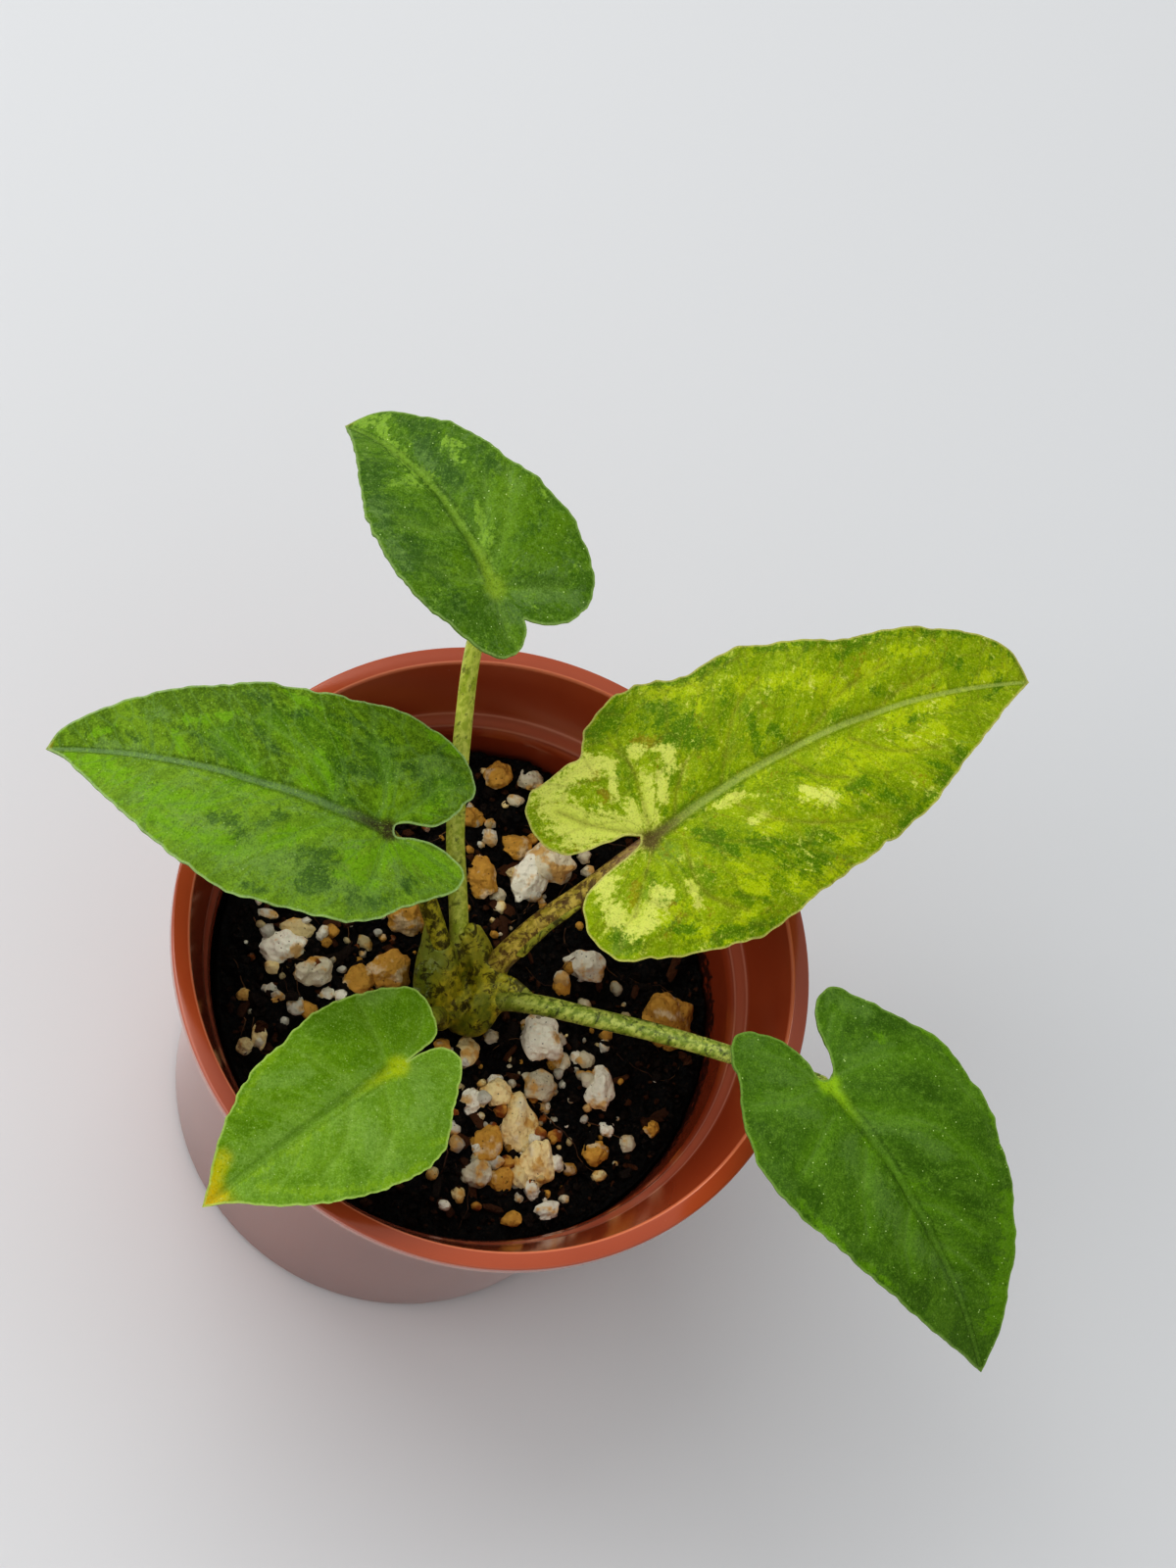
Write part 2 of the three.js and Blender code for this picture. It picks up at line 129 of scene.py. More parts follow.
class Finish:
    """One material, built up layer by layer."""

    def __init__(self, name, settings):
        self.material = bpy.data.materials.new(name)
        self.material.use_nodes = True
        self.tree = self.material.node_tree
        self.shader = self.tree.nodes["Principled BSDF"]
        self.place = self.tree.nodes.new("ShaderNodeTexCoord").outputs["Object"]
        for socket, value in settings.items():
            self.shader.inputs[socket].default_value = value

    def feed(self, socket, value):
        """Give a socket a plain value, or link it where the value is another node's output."""
        if isinstance(value, bpy.types.NodeSocket):
            self.tree.links.new(value, socket)
        else:
            socket.default_value = value

    def field(self, name, output="Fac"):
        """A value that the mesh keeps at its points."""
        node = self.tree.nodes.new("ShaderNodeAttribute")
        node.attribute_name = name
        return node.outputs[output]

    def axes(self, source=None):
        """The X, Y and Z of a place on the piece, or of another value with three parts."""
        node = self.tree.nodes.new("ShaderNodeSeparateXYZ")
        self.feed(node.inputs[0], source or self.place)
        return node.outputs["X"], node.outputs["Y"], node.outputs["Z"]

    def stretched(self, scale, turn=(0.0, 0.0, 0.0), source=None, shift=0.0):
        """Places squeezed by a scale along each axis: a scale under 1 draws the noise on them out."""
        node = self.tree.nodes.new("ShaderNodeMapping")
        self.feed(node.inputs["Vector"], source or self.place)
        node.inputs["Location"].default_value = (shift, 0.7 * shift, 0.4 * shift)
        node.inputs["Scale"].default_value = scale
        node.inputs["Rotation"].default_value = turn
        return node.outputs["Vector"]

    def grain(self, size, detail=4.0, rough=0.6, source=None, warp=0.0):
        """Soft noise whose lumps are about so many millimetres wide."""
        node = self.tree.nodes.new("ShaderNodeTexNoise")
        self.feed(node.inputs["Vector"], source or self.place)
        node.inputs["Scale"].default_value = 1.0 / (size * MM)
        node.inputs["Detail"].default_value = detail
        node.inputs["Roughness"].default_value = rough
        node.inputs["Distortion"].default_value = warp
        return node.outputs["Fac"]

    def cells(self, size, source=None, kind="F1"):
        """Distance within cells about so many millimetres wide."""
        node = self.tree.nodes.new("ShaderNodeTexVoronoi")
        node.feature = kind
        self.feed(node.inputs["Vector"], source or self.place)
        node.inputs["Scale"].default_value = 1.0 / (size * MM)
        return node.outputs["Distance"]

    def calc(self, how, first, second=0.0):
        """One step of arithmetic on one or two values."""
        node = self.tree.nodes.new("ShaderNodeMath")
        node.operation = how
        self.feed(node.inputs[0], first)
        self.feed(node.inputs[1], second)
        return node.outputs[0]

    def step(self, value, low, high, most=1.0):
        """A mask that rises smoothly from 0 at the low value to its most at the high value."""
        node = self.tree.nodes.new("ShaderNodeMapRange")
        node.interpolation_type = "SMOOTHSTEP"
        self.feed(node.inputs["Value"], value)
        node.inputs["From Min"].default_value = low
        node.inputs["From Max"].default_value = high
        node.inputs["To Max"].default_value = most
        return node.outputs["Result"]

    def over(self, below, above, mask):
        """One colour laid over another where the mask is high."""
        node = self.tree.nodes.new("ShaderNodeMix")
        node.data_type = "RGBA"
        self.feed(node.inputs[0], mask)
        self.feed(node.inputs[6], below)
        self.feed(node.inputs[7], above)
        return node.outputs[2]

    def layered(self, shade, *layers):
        """(colour, mask) pairs laid over a first colour, one after the other."""
        for colour, mask in layers:
            shade = self.over(shade, colour, mask)
        return shade

    def ragged(self, field, *textures):
        """A soft mask whose edge is broken up by (noise, amount) pairs."""
        level = field
        for texture, amount in textures:
            shift = self.calc("MULTIPLY", self.calc("SUBTRACT", texture, 0.5), amount)
            level = self.calc("ADD", level, shift)
        return level

    def relief(self, height, depth):
        """A bump of so many millimetres, laid over any earlier one."""
        node = self.tree.nodes.new("ShaderNodeBump")
        node.inputs["Distance"].default_value = depth * MM
        self.feed(node.inputs["Height"], height)
        before = self.shader.inputs["Normal"]
        if before.is_linked:
            self.feed(node.inputs["Normal"], before.links[0].from_socket)
        self.feed(before, node.outputs["Normal"])

    def finish(self, colour, roughness=None):
        """Join the last colour and roughness to the shader."""
        self.feed(self.shader.inputs["Base Color"], colour)
        if roughness is not None:
            self.feed(self.shader.inputs["Roughness"], roughness)
        return self.material


def coat(piece, material):
    """Give a piece its one material."""
    piece.data.materials.clear()
    piece.data.materials.append(material)


floor_finish = Finish("plain floor", {"Roughness": 0.75})
floor_tone = floor_finish.over(paint(208, 209, 210), paint(214, 214, 214), floor_finish.grain(400.0, 2.0))
coat(floor, floor_finish.finish(floor_tone))
print("floor finish ready")

# %% [markdown]
# ## Small helpers for modelling
# An operator works on what is selected, so each step starts with nothing selected. A turned shape, such
# as a pot, is drawn here the way a potter raises a wall: a round face is extruded, and the ring that it
# leaves is drawn in or out to the next radius.

# %% Modelling helpers


def clear_selection():
    if bpy.context.object and bpy.context.object.mode != "OBJECT":
        bpy.ops.object.mode_set(mode="OBJECT")
    bpy.ops.object.select_all(action="DESELECT")


def pick(piece):
    """Select one piece alone and make it active."""
    clear_selection()
    piece.select_set(True)
    bpy.context.view_layer.objects.active = piece


def face_outwards(piece, merge=None):
    """Turn every face's front outwards, and before that merge points that are closer than a distance."""
    pick(piece)
    bpy.ops.object.mode_set(mode="EDIT")
    bpy.ops.mesh.select_all(action="SELECT")
    if merge is not None:
        bpy.ops.mesh.remove_doubles(threshold=merge)
    bpy.ops.mesh.normals_make_consistent(inside=False)
    bpy.ops.object.mode_set(mode="OBJECT")


def raise_wall(name, rings, segments, centre=(0.0, 0.0)):
    """A turned solid: a disc that is extruded from each [radius, height] to the next, in millimetres."""
    clear_selection()
    radius, height = rings[0]
    place = (centre[0] * MM, centre[1] * MM, height * MM)
    bpy.ops.mesh.primitive_circle_add(vertices=segments, radius=radius * MM, fill_type="NGON", location=place)
    piece = bpy.context.object
    piece.name = name
    bpy.ops.object.transform_apply(location=True, rotation=True, scale=True)
    bpy.ops.object.mode_set(mode="EDIT")
    bpy.ops.mesh.select_all(action="SELECT")
    for next_radius, next_height in rings[1:]:
        lift = (0.0, 0.0, (next_height - height) * MM)
        bpy.ops.mesh.extrude_region_move(TRANSFORM_OT_translate={"value": lift})
        grow = next_radius / radius
        middle = (centre[0] * MM, centre[1] * MM, next_height * MM)
        bpy.ops.transform.resize(value=(grow, grow, 1.0), center_override=middle)
        radius, height = next_radius, next_height
    face_outwards(piece)
    return piece


def apply_modifier(piece, kind, **settings):
    """Add a modifier with some settings and make its result the piece's own mesh."""
    pick(piece)
    modifier = piece.modifiers.new(kind.lower(), kind)
    for key, value in settings.items():
        setattr(modifier, key, value)
    bpy.ops.object.modifier_apply(modifier=modifier.name)


def smooth(piece, angle=None):
    """Soft shading all over, or only across corners flatter than an angle in degrees."""
    pick(piece)
    if angle is None:
        bpy.ops.object.shade_smooth()
    else:
        bpy.ops.object.shade_smooth_by_angle(angle=math.radians(angle))


def hand_in(piece, slot, *nodes):
    """Tie a finished piece to the model: its body and the nodes that it stands for. The slot is not used."""
    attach(piece, "root")
    if nodes:
        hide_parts(*nodes)
    triangles = sum(len(p.vertices) - 2 for p in piece.data.polygons)
    print(f"{piece.name}: {triangles} triangles")


print("helpers ready")

# %% [markdown]
# ## The pot
# A thin nursery pot is moulded in one piece: a flat rolled lip, a flared collar, a step inside that lets
# pots stack, and a body that narrows to a base with drain holes. Raising the wall ring by ring gives the
# true section, and a bevel rounds the moulded corners so that they catch fine bright lines.

# %% Raise the pot wall
POT_SEGMENTS = 192
CORNER_WIDTH = 0.12
OUTER_RINGS = [[30.2, 0.0], [31.2, 1.0], [34.4, 48.2], [35.5, 51.0], [38.8, 60.0]]
LIP_RINGS = [[39.85, 60.0], [40.0, 60.2], [40.0, 61.8], [39.8, 62.0], [38.0, 62.0], [37.8, 61.8]]
STEP_RINGS = [[34.9, 52.3], [34.5, 51.3], [34.2, 50.9], [33.95, 50.3], [33.9, 49.9], [33.75, 49.5]]
INNER_RINGS = [[33.5, 48.9], [33.4, 48.3], [30.1, 1.0]]
pot = raise_wall("pot_shell", OUTER_RINGS + LIP_RINGS + STEP_RINGS + INNER_RINGS, POT_SEGMENTS)
apply_modifier(
    pot, "BEVEL", width=CORNER_WIDTH * MM, segments=2, limit_method="ANGLE", angle_limit=math.radians(25),
)
print("pot wall:", len(pot.data.polygons), "faces")

# %% Cut the drain holes and grooves in the base
DRAIN_COUNT = 8
HOLE_RADIUS = 2.5
HOLE_DEPTH = 4
HOLE_REACH = 21
GROOVE_REACH = 23.6
GROOVE_SIZE = (17.2, 3, 1)
clear_selection()
cutters = []
for index in range(DRAIN_COUNT):
    angle = 2 * math.pi * (index + 0.5) / DRAIN_COUNT
    out = Vector((math.cos(angle), math.sin(angle), 0.0))
    bpy.ops.mesh.primitive_cylinder_add(
        vertices=32, radius=HOLE_RADIUS * MM, depth=HOLE_DEPTH * MM, location=out * HOLE_REACH * MM,
    )
    cutters.append(bpy.context.object)
    bpy.ops.mesh.primitive_cube_add(size=1.0, location=out * GROOVE_REACH * MM, rotation=(0.0, 0.0, angle))
    bpy.context.object.scale = [side * MM for side in GROOVE_SIZE]
    cutters.append(bpy.context.object)
clear_selection()
for cutter in cutters:
    cutter.select_set(True)
bpy.context.view_layer.objects.active = cutters[0]
bpy.ops.object.transform_apply(location=True, rotation=True, scale=True)
bpy.ops.object.join()
cutter = bpy.context.object
face_outwards(cutter)
apply_modifier(pot, "BOOLEAN", operation="DIFFERENCE", object=cutter, solver="EXACT", use_self=True)
bpy.data.objects.remove(cutter)
smooth(pot, 35)
print("pot with drain holes:", len(pot.data.polygons), "faces")

# %% [markdown]
# ### Glossy terracotta plastic
# The plastic is a warm red brown under a shiny clear coat. Noise gives it fine pale dust. The step is
# painted as a paler band for the light that its upward face catches, with two painted highlight lines,
# inside and outside. The lip is painted a little brighter as painted light, and a painted highlight line
# runs along its inner edge. Watering leaves dark crumbs on the inner wall just over the mix. Masks by
# height and by distance from the middle keep each of these in its place, because the whole pot is one mesh.

# %% Finish the pot
# The heights in metres where each mask begins and is full.
STEP_BEGIN = (0.0490, 0.0503)
STEP_END = (0.0532, 0.0520)
LIP_HEIGHT = (0.0585, 0.0605)
RIM_TOP = (0.0614, 0.0617)
CRUST_HEIGHT = (0.0475, 0.0425)
# The same for the distance from the middle, and for the depth within the outer wall.
LIP_EDGE = (0.03815, 0.03800)
WITHIN_WALL = (0.0003, 0.0007)
# The heights of the painted highlight lines, the outer wall's radius at the base and how much it grows with
# height.
HIGHLIGHT_LINE_HEIGHTS = (0.0503, 0.0523)
WALL_FOOT = 0.03113
WALL_SLOPE = 0.0678
plastic = Finish("terracotta plastic", {"Roughness": 0.25, "IOR": 1.45, "Coat Weight": 1.0, "Coat IOR": 1.5})
plastic.shader.inputs["Coat Roughness"].default_value = 0.18
across, away, pot_height = plastic.axes()
cloud = plastic.grain(14.0, 1.0)
dust = plastic.grain(0.5, 5.0, 0.75)
reach = plastic.calc("ADD", plastic.calc("POWER", across, 2.0), plastic.calc("POWER", away, 2.0))
reach = plastic.calc("SQRT", reach)
outer_wall = plastic.calc("ADD", plastic.calc("MULTIPLY", pot_height, WALL_SLOPE), WALL_FOOT)
inside = plastic.step(plastic.calc("SUBTRACT", outer_wall, reach), *WITHIN_WALL)
# The step's paler band is painted light: its upward face is painted paler for the light it catches.
below_end = plastic.step(pot_height, *STEP_END, 0.45)
ledge_painted_light = plastic.calc("MULTIPLY", below_end, plastic.step(pot_height, *STEP_BEGIN))
# Two thin painted highlight lines run along the step's rounded ribs.
painted_highlight_lines = []
for line in HIGHLIGHT_LINE_HEIGHTS:
    gap = plastic.calc("ABSOLUTE", plastic.calc("SUBTRACT", pot_height, line))
    painted_highlight_lines.append((paint(232, 172, 154), plastic.step(gap, 0.00035, 0.0, 0.5)))
# The lip is painted a little brighter: painted light on the rim.
lip_painted_light = plastic.step(pot_height, *LIP_HEIGHT, 0.12)
# A thin pale painted highlight runs along the rim's inner edge.
painted_edge_highlight = plastic.calc("MULTIPLY", plastic.step(reach, *LIP_EDGE), plastic.step(pot_height, *RIM_TOP, 0.6))
near_mix = plastic.calc("MULTIPLY", inside, plastic.step(pot_height, *CRUST_HEIGHT))
crust = plastic.step(plastic.ragged(near_mix, (plastic.grain(0.9, 5.0, 0.7), 1.9)), 0.75, 0.95, 0.85)
shade = plastic.layered(
    paint(166, 77, 44),
    (paint(175, 86, 50), plastic.step(cloud, 0.25, 0.75)),
    (paint(232, 206, 190), plastic.step(dust, 0.7, 0.76, 0.8)),
    (paint(206, 132, 112), ledge_painted_light),
    *painted_highlight_lines,
    (paint(204, 108, 66), lip_painted_light),
    (paint(236, 150, 112), painted_edge_highlight),
    (paint(28, 13, 7), crust),
)
rough = plastic.calc("ADD", plastic.step(dust, 0.6, 0.8, 0.2), plastic.calc("MULTIPLY", crust, 0.5))
rough = plastic.calc("ADD", rough, 0.18)
coat(pot, plastic.finish(shade, rough))
hand_in(pot, "pot_plastic", "pot")

# %% [markdown]
# ## The potting mix
# The mix is dark peat and bark with a lumpy top. Its surface starts as a fine grid that is drawn to a
# round sheet, follows the measured model's gentle lumps and gets finer crumbs by noise. The edge is then
# extruded down, pressed flat just over the pot's base and drawn in, which makes the sheet a solid.

# %% Shape the bed of mix
MIX_LEVEL = 44.6
MIX_FALL = (-0.095, 0.03)
MIX_RADIUS = 32.5
MIX_GRID = 190
MIX_BASE = 1.6
MIX_BASE_SHARE = 0.92


def mix_height(x, y):
    """The gentle lumps of the measured model, in millimetres."""
    broad = 0.6 * math.sin(0.21 * x + 0.3) * math.cos(0.19 * y - 0.5)
    middle = 0.45 * math.sin(0.55 * x - 0.31 * y + 1.2)
    fine = 0.3 * math.sin(0.83 * y + 0.47 * x) * math.sin(0.71 * x - 0.4)
    return MIX_LEVEL + MIX_FALL[0] * x + MIX_FALL[1] * y + broad + middle + fine


def crumbly_height(x, y):
    """The same surface with the finer lumps and crumbs of loose peat."""
    lumps = noise.fractal(Vector((x * 0.35, y * 0.35, 4.0)), 0.8, 2.1, 4)
    crumbs = abs(noise.noise(Vector((x * 1.1, y * 1.1, 9.0))))
    return mix_height(x, y) + 0.75 * lumps + 0.9 * crumbs - 0.35


clear_selection()
bpy.ops.mesh.primitive_grid_add(x_subdivisions=MIX_GRID, y_subdivisions=MIX_GRID, size=2.0)
mix = bpy.context.object
mix.name = "mix_bed"
for vertex in mix.data.vertices:
    u, v = vertex.co.x, vertex.co.y
    x = MIX_RADIUS * u * math.sqrt(1 - v * v / 2)
    y = MIX_RADIUS * v * math.sqrt(1 - u * u / 2)
    vertex.co = Vector((x, y, crumbly_height(x, y))) * MM
pick(mix)
bpy.ops.object.mode_set(mode="EDIT")
bpy.ops.mesh.select_all(action="DESELECT")
bpy.ops.mesh.select_mode(type="EDGE")
bpy.ops.mesh.select_non_manifold()
bpy.ops.mesh.extrude_region_move(TRANSFORM_OT_translate={"value": (0.0, 0.0, -44.0 * MM)})
bpy.ops.transform.resize(
    value=(MIX_BASE_SHARE, MIX_BASE_SHARE, 0.0), center_override=(0.0, 0.0, MIX_BASE * MM),
)
bpy.ops.mesh.edge_face_add()
face_outwards(mix)
smooth(mix)
print("mix bed top:", round(max(v.co.z for v in mix.data.vertices) / MM, 1), "mm")

# %% [markdown]
# ### Dark peat and bark
# Moist peat is nearly black, with brown fibres and brown specks; the specks are partly the crumbs' own
# colour and partly painted highlights on them. Noise at three sizes carries the colour, and a strong fine
# bump makes the surface break up the light. Loose crumbs and flakes share this finish, and a tint kept at
# their points turns some of them brown.

# %% Finish the mix
moist = Finish("moist peat", {"Roughness": 0.9, "Specular IOR Level": 0.3})
lump = moist.grain(2.2, 5.0, 0.7)
crumb = moist.grain(0.45, 6.0, 0.75)
fibre = moist.grain(1.4, 4.0, 0.7, moist.stretched((1.0, 0.22, 1.0), (0.3, 0.1, 0.7)))
tint = moist.field("tint")
shade = moist.layered(
    paint(7, 6, 5),
    # Brown specks at crumb size: partly the crumbs' own colour, partly painted highlights on them.
    (paint(96, 74, 58), moist.step(crumb, 0.5, 0.76)),
    (paint(58, 36, 20), moist.step(fibre, 0.6, 0.72, 0.7)),
    (paint(5, 4, 4), moist.step(lump, 0.45, 0.65, 0.8)),
    (paint(46, 33, 24), moist.step(tint, 0.35, 0.6, 0.7)),
    (paint(98, 60, 32), moist.step(tint, 0.78, 0.96, 0.85)),
)
moist.relief(crumb, 0.3)
moist.relief(lump, 0.6)
peat = moist.finish(shade, moist.step(crumb, 0.2, 0.8, 0.95))
coat(mix, peat)
hand_in(mix, "mix", "potting_mix")

# %% [markdown]
# ## Loose crumbs, bark and root hairs
# Crumbs all start from one small ball that is copied in many sizes, and each copy is roughened in its own
# way, because it is their number and their shadows that make the surface read as loose. Bark flakes are
# flat and long. Root hairs are thin bent threads that lie on the surface.

# %% Make one ball to copy


def ball_corners(subdivisions):
    """Corners and faces of a round ball with a radius of 1."""
    clear_selection()
    bpy.ops.mesh.primitive_ico_sphere_add(subdivisions=subdivisions, radius=1.0)
    ball = bpy.context.object
    corners = np.array([v.co[:] for v in ball.data.vertices])
    faces = np.array([p.vertices[:] for p in ball.data.polygons])
    bpy.data.objects.remove(ball)
    return corners, faces


def gather(name, clumps):
    """One mesh from many (corners, faces, tint) clumps, in millimetres."""
    corners, faces, tints, start = [], [], [], 0
    for clump_corners, clump_faces, tint in clumps:
        corners.append(clump_corners)
        faces.append(clump_faces + start)
        tints.append(np.broadcast_to(tint, (len(clump_corners),) + np.shape(tint)))
        start += len(clump_corners)
    mesh = bpy.data.meshes.new(name)
    mesh.from_pydata((np.concatenate(corners) * MM).tolist(), [], np.concatenate(faces).tolist())
    all_tints = np.concatenate(tints)
    kind = "FLOAT" if all_tints.ndim == 1 else "FLOAT_COLOR"
    layer = mesh.attributes.new("tint", kind, "POINT")
    layer.data.foreach_set("value" if kind == "FLOAT" else "color", all_tints.astype(np.float32).ravel())
    piece = bpy.data.objects.new(name, mesh)
    scene.collection.objects.link(piece)
    return piece


def spin_matrix(draw):
    """A random turn in space."""
    axis = Vector((draw.gauss(0, 1), draw.gauss(0, 1), draw.gauss(0, 1))).normalized()
    return np.array(Matrix.Rotation(draw.uniform(0, math.tau), 3, axis))


def roughness_of(draw, corners, amount):
    """A random change of size for each corner."""
    return 1 + amount * np.array([draw.uniform(-1, 1) for _ in corners])[:, None]


CROWN_CENTRE = (-2.4, -3.2)
CROWN_REACH = 4.6


def from_crown(x, y):
    """The distance of a spot from the crown's middle."""
    return math.hypot(x - CROWN_CENTRE[0], y - CROWN_CENTRE[1])


def place_on_mix(draw, reach):
    """A random spot on the mix, outside the crown."""
    while True:
        radius = reach * math.sqrt(draw.random())
        angle = draw.uniform(0, math.tau)
        x, y = radius * math.cos(angle), radius * math.sin(angle)
        if from_crown(x, y) > CROWN_REACH:
            return x, y


small_ball = ball_corners(1)
round_ball = ball_corners(2)
print("ball faces:", len(small_ball[1]), len(round_ball[1]))

# %% Scatter the crumbs
CRUMB_COUNT = 3600
LARGE_EVERY = 6
draw = random.Random(7)
crumbs = []
for index in range(CRUMB_COUNT):
    large = index % LARGE_EVERY == 0
    corners, faces = round_ball if large else small_ball
    size = draw.uniform(0.35, 0.95) if large else draw.uniform(0.18, 0.6)
    x, y = place_on_mix(draw, 31.6)
    jitter = roughness_of(draw, corners, 0.35)
    shape = corners * jitter * size * [1.0, draw.uniform(0.5, 1.0), draw.uniform(0.5, 0.9)]
    shape = shape @ spin_matrix(draw).T + [x, y, crumbly_height(x, y) + 0.25 * size]
    crumbs.append((shape, faces, draw.random()))
crumb_piece = gather("mix_crumbs", crumbs)
coat(crumb_piece, peat)
hand_in(crumb_piece, "mix")

# %% Scatter the bark flakes
FLAKE_COUNT = 130
FLAKE_TINTS = (0.3, 0.5, 0.8, 0.9, 1.0)
draw = random.Random(19)
flakes = []
corners, faces = round_ball
for index in range(FLAKE_COUNT):
    x, y = place_on_mix(draw, 30.0)
    length = draw.uniform(0.9, 2.6)
    jitter = roughness_of(draw, corners, 0.2)
    sizes = [length, length * draw.uniform(0.25, 0.5), draw.uniform(0.2, 0.4)]
    shape = np.clip(corners, -0.75, 0.75) * jitter * sizes
    lean = Matrix.Rotation(draw.uniform(-0.5, 0.5), 3, "X")
    tilt = lean @ Matrix.Rotation(draw.uniform(0, math.tau), 3, "Z")
    shape = shape @ np.array(tilt) + [x, y, crumbly_height(x, y) + 0.3]
    flakes.append((shape, faces, draw.choice(FLAKE_TINTS)))
bark = gather("mix_bark", flakes)
smooth(bark, 40)
coat(bark, peat)
hand_in(bark, "mix")

# %% Lay the root hairs


def thread_piece(name, threads, roundness):
    """Tubes from (points, radii) lists in millimetres, as one mesh."""
    curve = bpy.data.curves.new(name, "CURVE")
    curve.dimensions = "3D"
    curve.bevel_depth = MM
    curve.bevel_resolution = roundness
    curve.use_fill_caps = True
    for points, radii in threads:
        spline = curve.splines.new("POLY")
        spline.points.add(len(points) - 1)
        for knot, point, radius in zip(spline.points, points, radii):
            knot.co = (point[0] * MM, point[1] * MM, point[2] * MM, 1.0)
            knot.radius = radius
    piece = bpy.data.objects.new(name, curve)
    scene.collection.objects.link(piece)
    pick(piece)
    bpy.ops.object.convert(target="MESH")
    piece = bpy.context.object
    face_outwards(piece, merge=1e-7)
    smooth(piece)
    return piece


HAIR_COUNT = 70
HAIR_STEP = 0.7
MIX_EDGE = 31.3
draw = random.Random(5)
hairs = []
for index in range(HAIR_COUNT):
    x, y = place_on_mix(draw, 29.0)
    heading = draw.uniform(0, math.tau)
    count = draw.randint(8, 20)
    thick = draw.uniform(0.05, 0.13)
    points = []
    for step_index in range(count):
        arch = 0.9 * math.sin(math.pi * step_index / (count - 1)) * (index % 4 == 0)
        points.append((x, y, crumbly_height(x, y) + 0.25 + arch))
        heading += draw.uniform(-0.45, 0.45)
        x += HAIR_STEP * math.cos(heading)
        y += HAIR_STEP * math.sin(heading)
        if math.hypot(x, y) > MIX_EDGE or from_crown(x, y) < CROWN_REACH:
            break
    if len(points) > 3:
        hairs.append((points, np.linspace(thick, thick * 0.4, len(points))))
root_hairs = thread_piece("mix_root_hairs", hairs, 1)
hair_finish = Finish("root hair", {"Roughness": 0.7})
blotch = hair_finish.step(hair_finish.grain(6.0), 0.4, 0.65)
tone = hair_finish.over(paint(74, 48, 30), paint(150, 112, 74), blotch)
coat(root_hairs, hair_finish.finish(tone))
hand_in(root_hairs, "mix")

# %% [markdown]
# ## Mineral chips
# Perlite is white and full of pits; pumice and baked clay are cream, ochre and orange brown. Each chip is a
# ball pressed flat against a few random planes, which gives the broken faces of a stone, and then gets
# lumps and craters. The larger ones have places of their own in the list below: x, y, width, length and
# the letter of a colour. Small ones are strewn round a few middles.

# %% List the chips
CHIP_COLOURS = {
    "w": (252, 247, 228), "g": (230, 220, 192), "c": (250, 230, 176),
    "o": (216, 168, 80), "b": (164, 98, 44),
}
CHIPS = [
    (9.7, -5.9, 4.2, 6.2, "w"), (12.1, -8.0, 1.8, 2.8, "o"), (9.8, -11.7, 4.0, 3.5, "g"),
    (6.8, -16.4, 4.2, 6.5, "c"), (17.6, -11.7, 3.2, 4.8, "w"), (15.9, -7.7, 2.2, 2.2, "g"),
    (4.1, -13.3, 3.2, 3.0, "c"), (4.0, -11.4, 1.8, 1.2, "w"), (0.8, -14.7, 2.5, 2.8, "w"),
    (2.9, -20.4, 3.2, 4.5, "o"), (1.7, -24.0, 3.0, 3.5, "g"), (4.9, -24.3, 2.8, 3.2, "o"),
    (7.1, -23.2, 2.0, 3.8, "c"), (9.6, -22.0, 3.5, 5.0, "c"), (11.9, -21.6, 1.8, 2.0, "w"),
    (8.9, -25.4, 1.8, 2.2, "w"), (17.3, -19.7, 2.8, 3.0, "o"), (18.9, -16.5, 1.8, 1.8, "w"),
    (12.0, -18.0, 1.8, 1.5, "b"), (10.0, -18.0, 1.8, 1.8, "b"), (21.7, -18.2, 1.8, 2.0, "g"),
    (24.8, -16.1, 1.8, 1.8, "o"), (27.1, -1.3, 5.8, 6.2, "o"), (-0.2, -8.4, 2.8, 3.5, "c"),
    (-3.4, -8.2, 1.8, 2.0, "o"), (13.0, -8.4, 1.8, 2.5, "g"), (11.0, -27.7, 3.0, 2.0, "w"),
    (6.1, -29.4, 2.2, 1.8, "o"), (-0.6, -26.6, 1.5, 2.0, "c"), (7.8, 15.3, 3.8, 5.5, "w"),
    (6.4, 20.3, 3.8, 3.0, "o"), (1.6, 15.3, 3.2, 5.0, "o"), (10.7, 18.0, 5.5, 5.0, "g"),
    (3.8, 13.1, 1.8, 1.8, "g"), (15.5, 19.8, 1.8, 1.8, "g"), (3.4, 29.2, 3.2, 3.2, "o"),
    (7.8, 29.3, 3.0, 2.6, "g"), (5.9, 26.2, 2.2, 1.5, "g"), (-0.1, 23.2, 3.0, 2.2, "o"),
    (15.7, 4.6, 4.5, 3.5, "w"), (12.5, 1.7, 2.0, 2.5, "o"), (-24.3, 2.4, 4.8, 3.5, "w"),
    (-22.5, 5.0, 3.8, 2.2, "c"), (-26.5, 6.6, 2.2, 1.2, "w"), (-20.4, -0.4, 4.2, 3.2, "g"),
    (-25.6, -0.3, 1.8, 1.5, "c"), (-28.8, -4.0, 1.5, 1.5, "c"), (-14.5, -0.6, 3.8, 3.5, "o"),
    (-10.4, 1.1, 4.6, 4.5, "o"), (-8.2, 8.6, 4.5, 4.2, "o"), (-18.3, -2.6, 1.8, 1.5, "w"),
    (-20.8, -5.3, 2.5, 2.0, "o"), (-26.8, -9.4, 1.5, 2.8, "c"), (-28.5, -10.6, 1.8, 1.8, "c"),
]
print(len(CHIPS), "large chips")

# %% Break and scatter the chips
fine_ball = ball_corners(4)
medium_ball = ball_corners(3)
FLAT_COUNT = 5
CRATER_COUNT = 6
FINE_FROM = 2.6


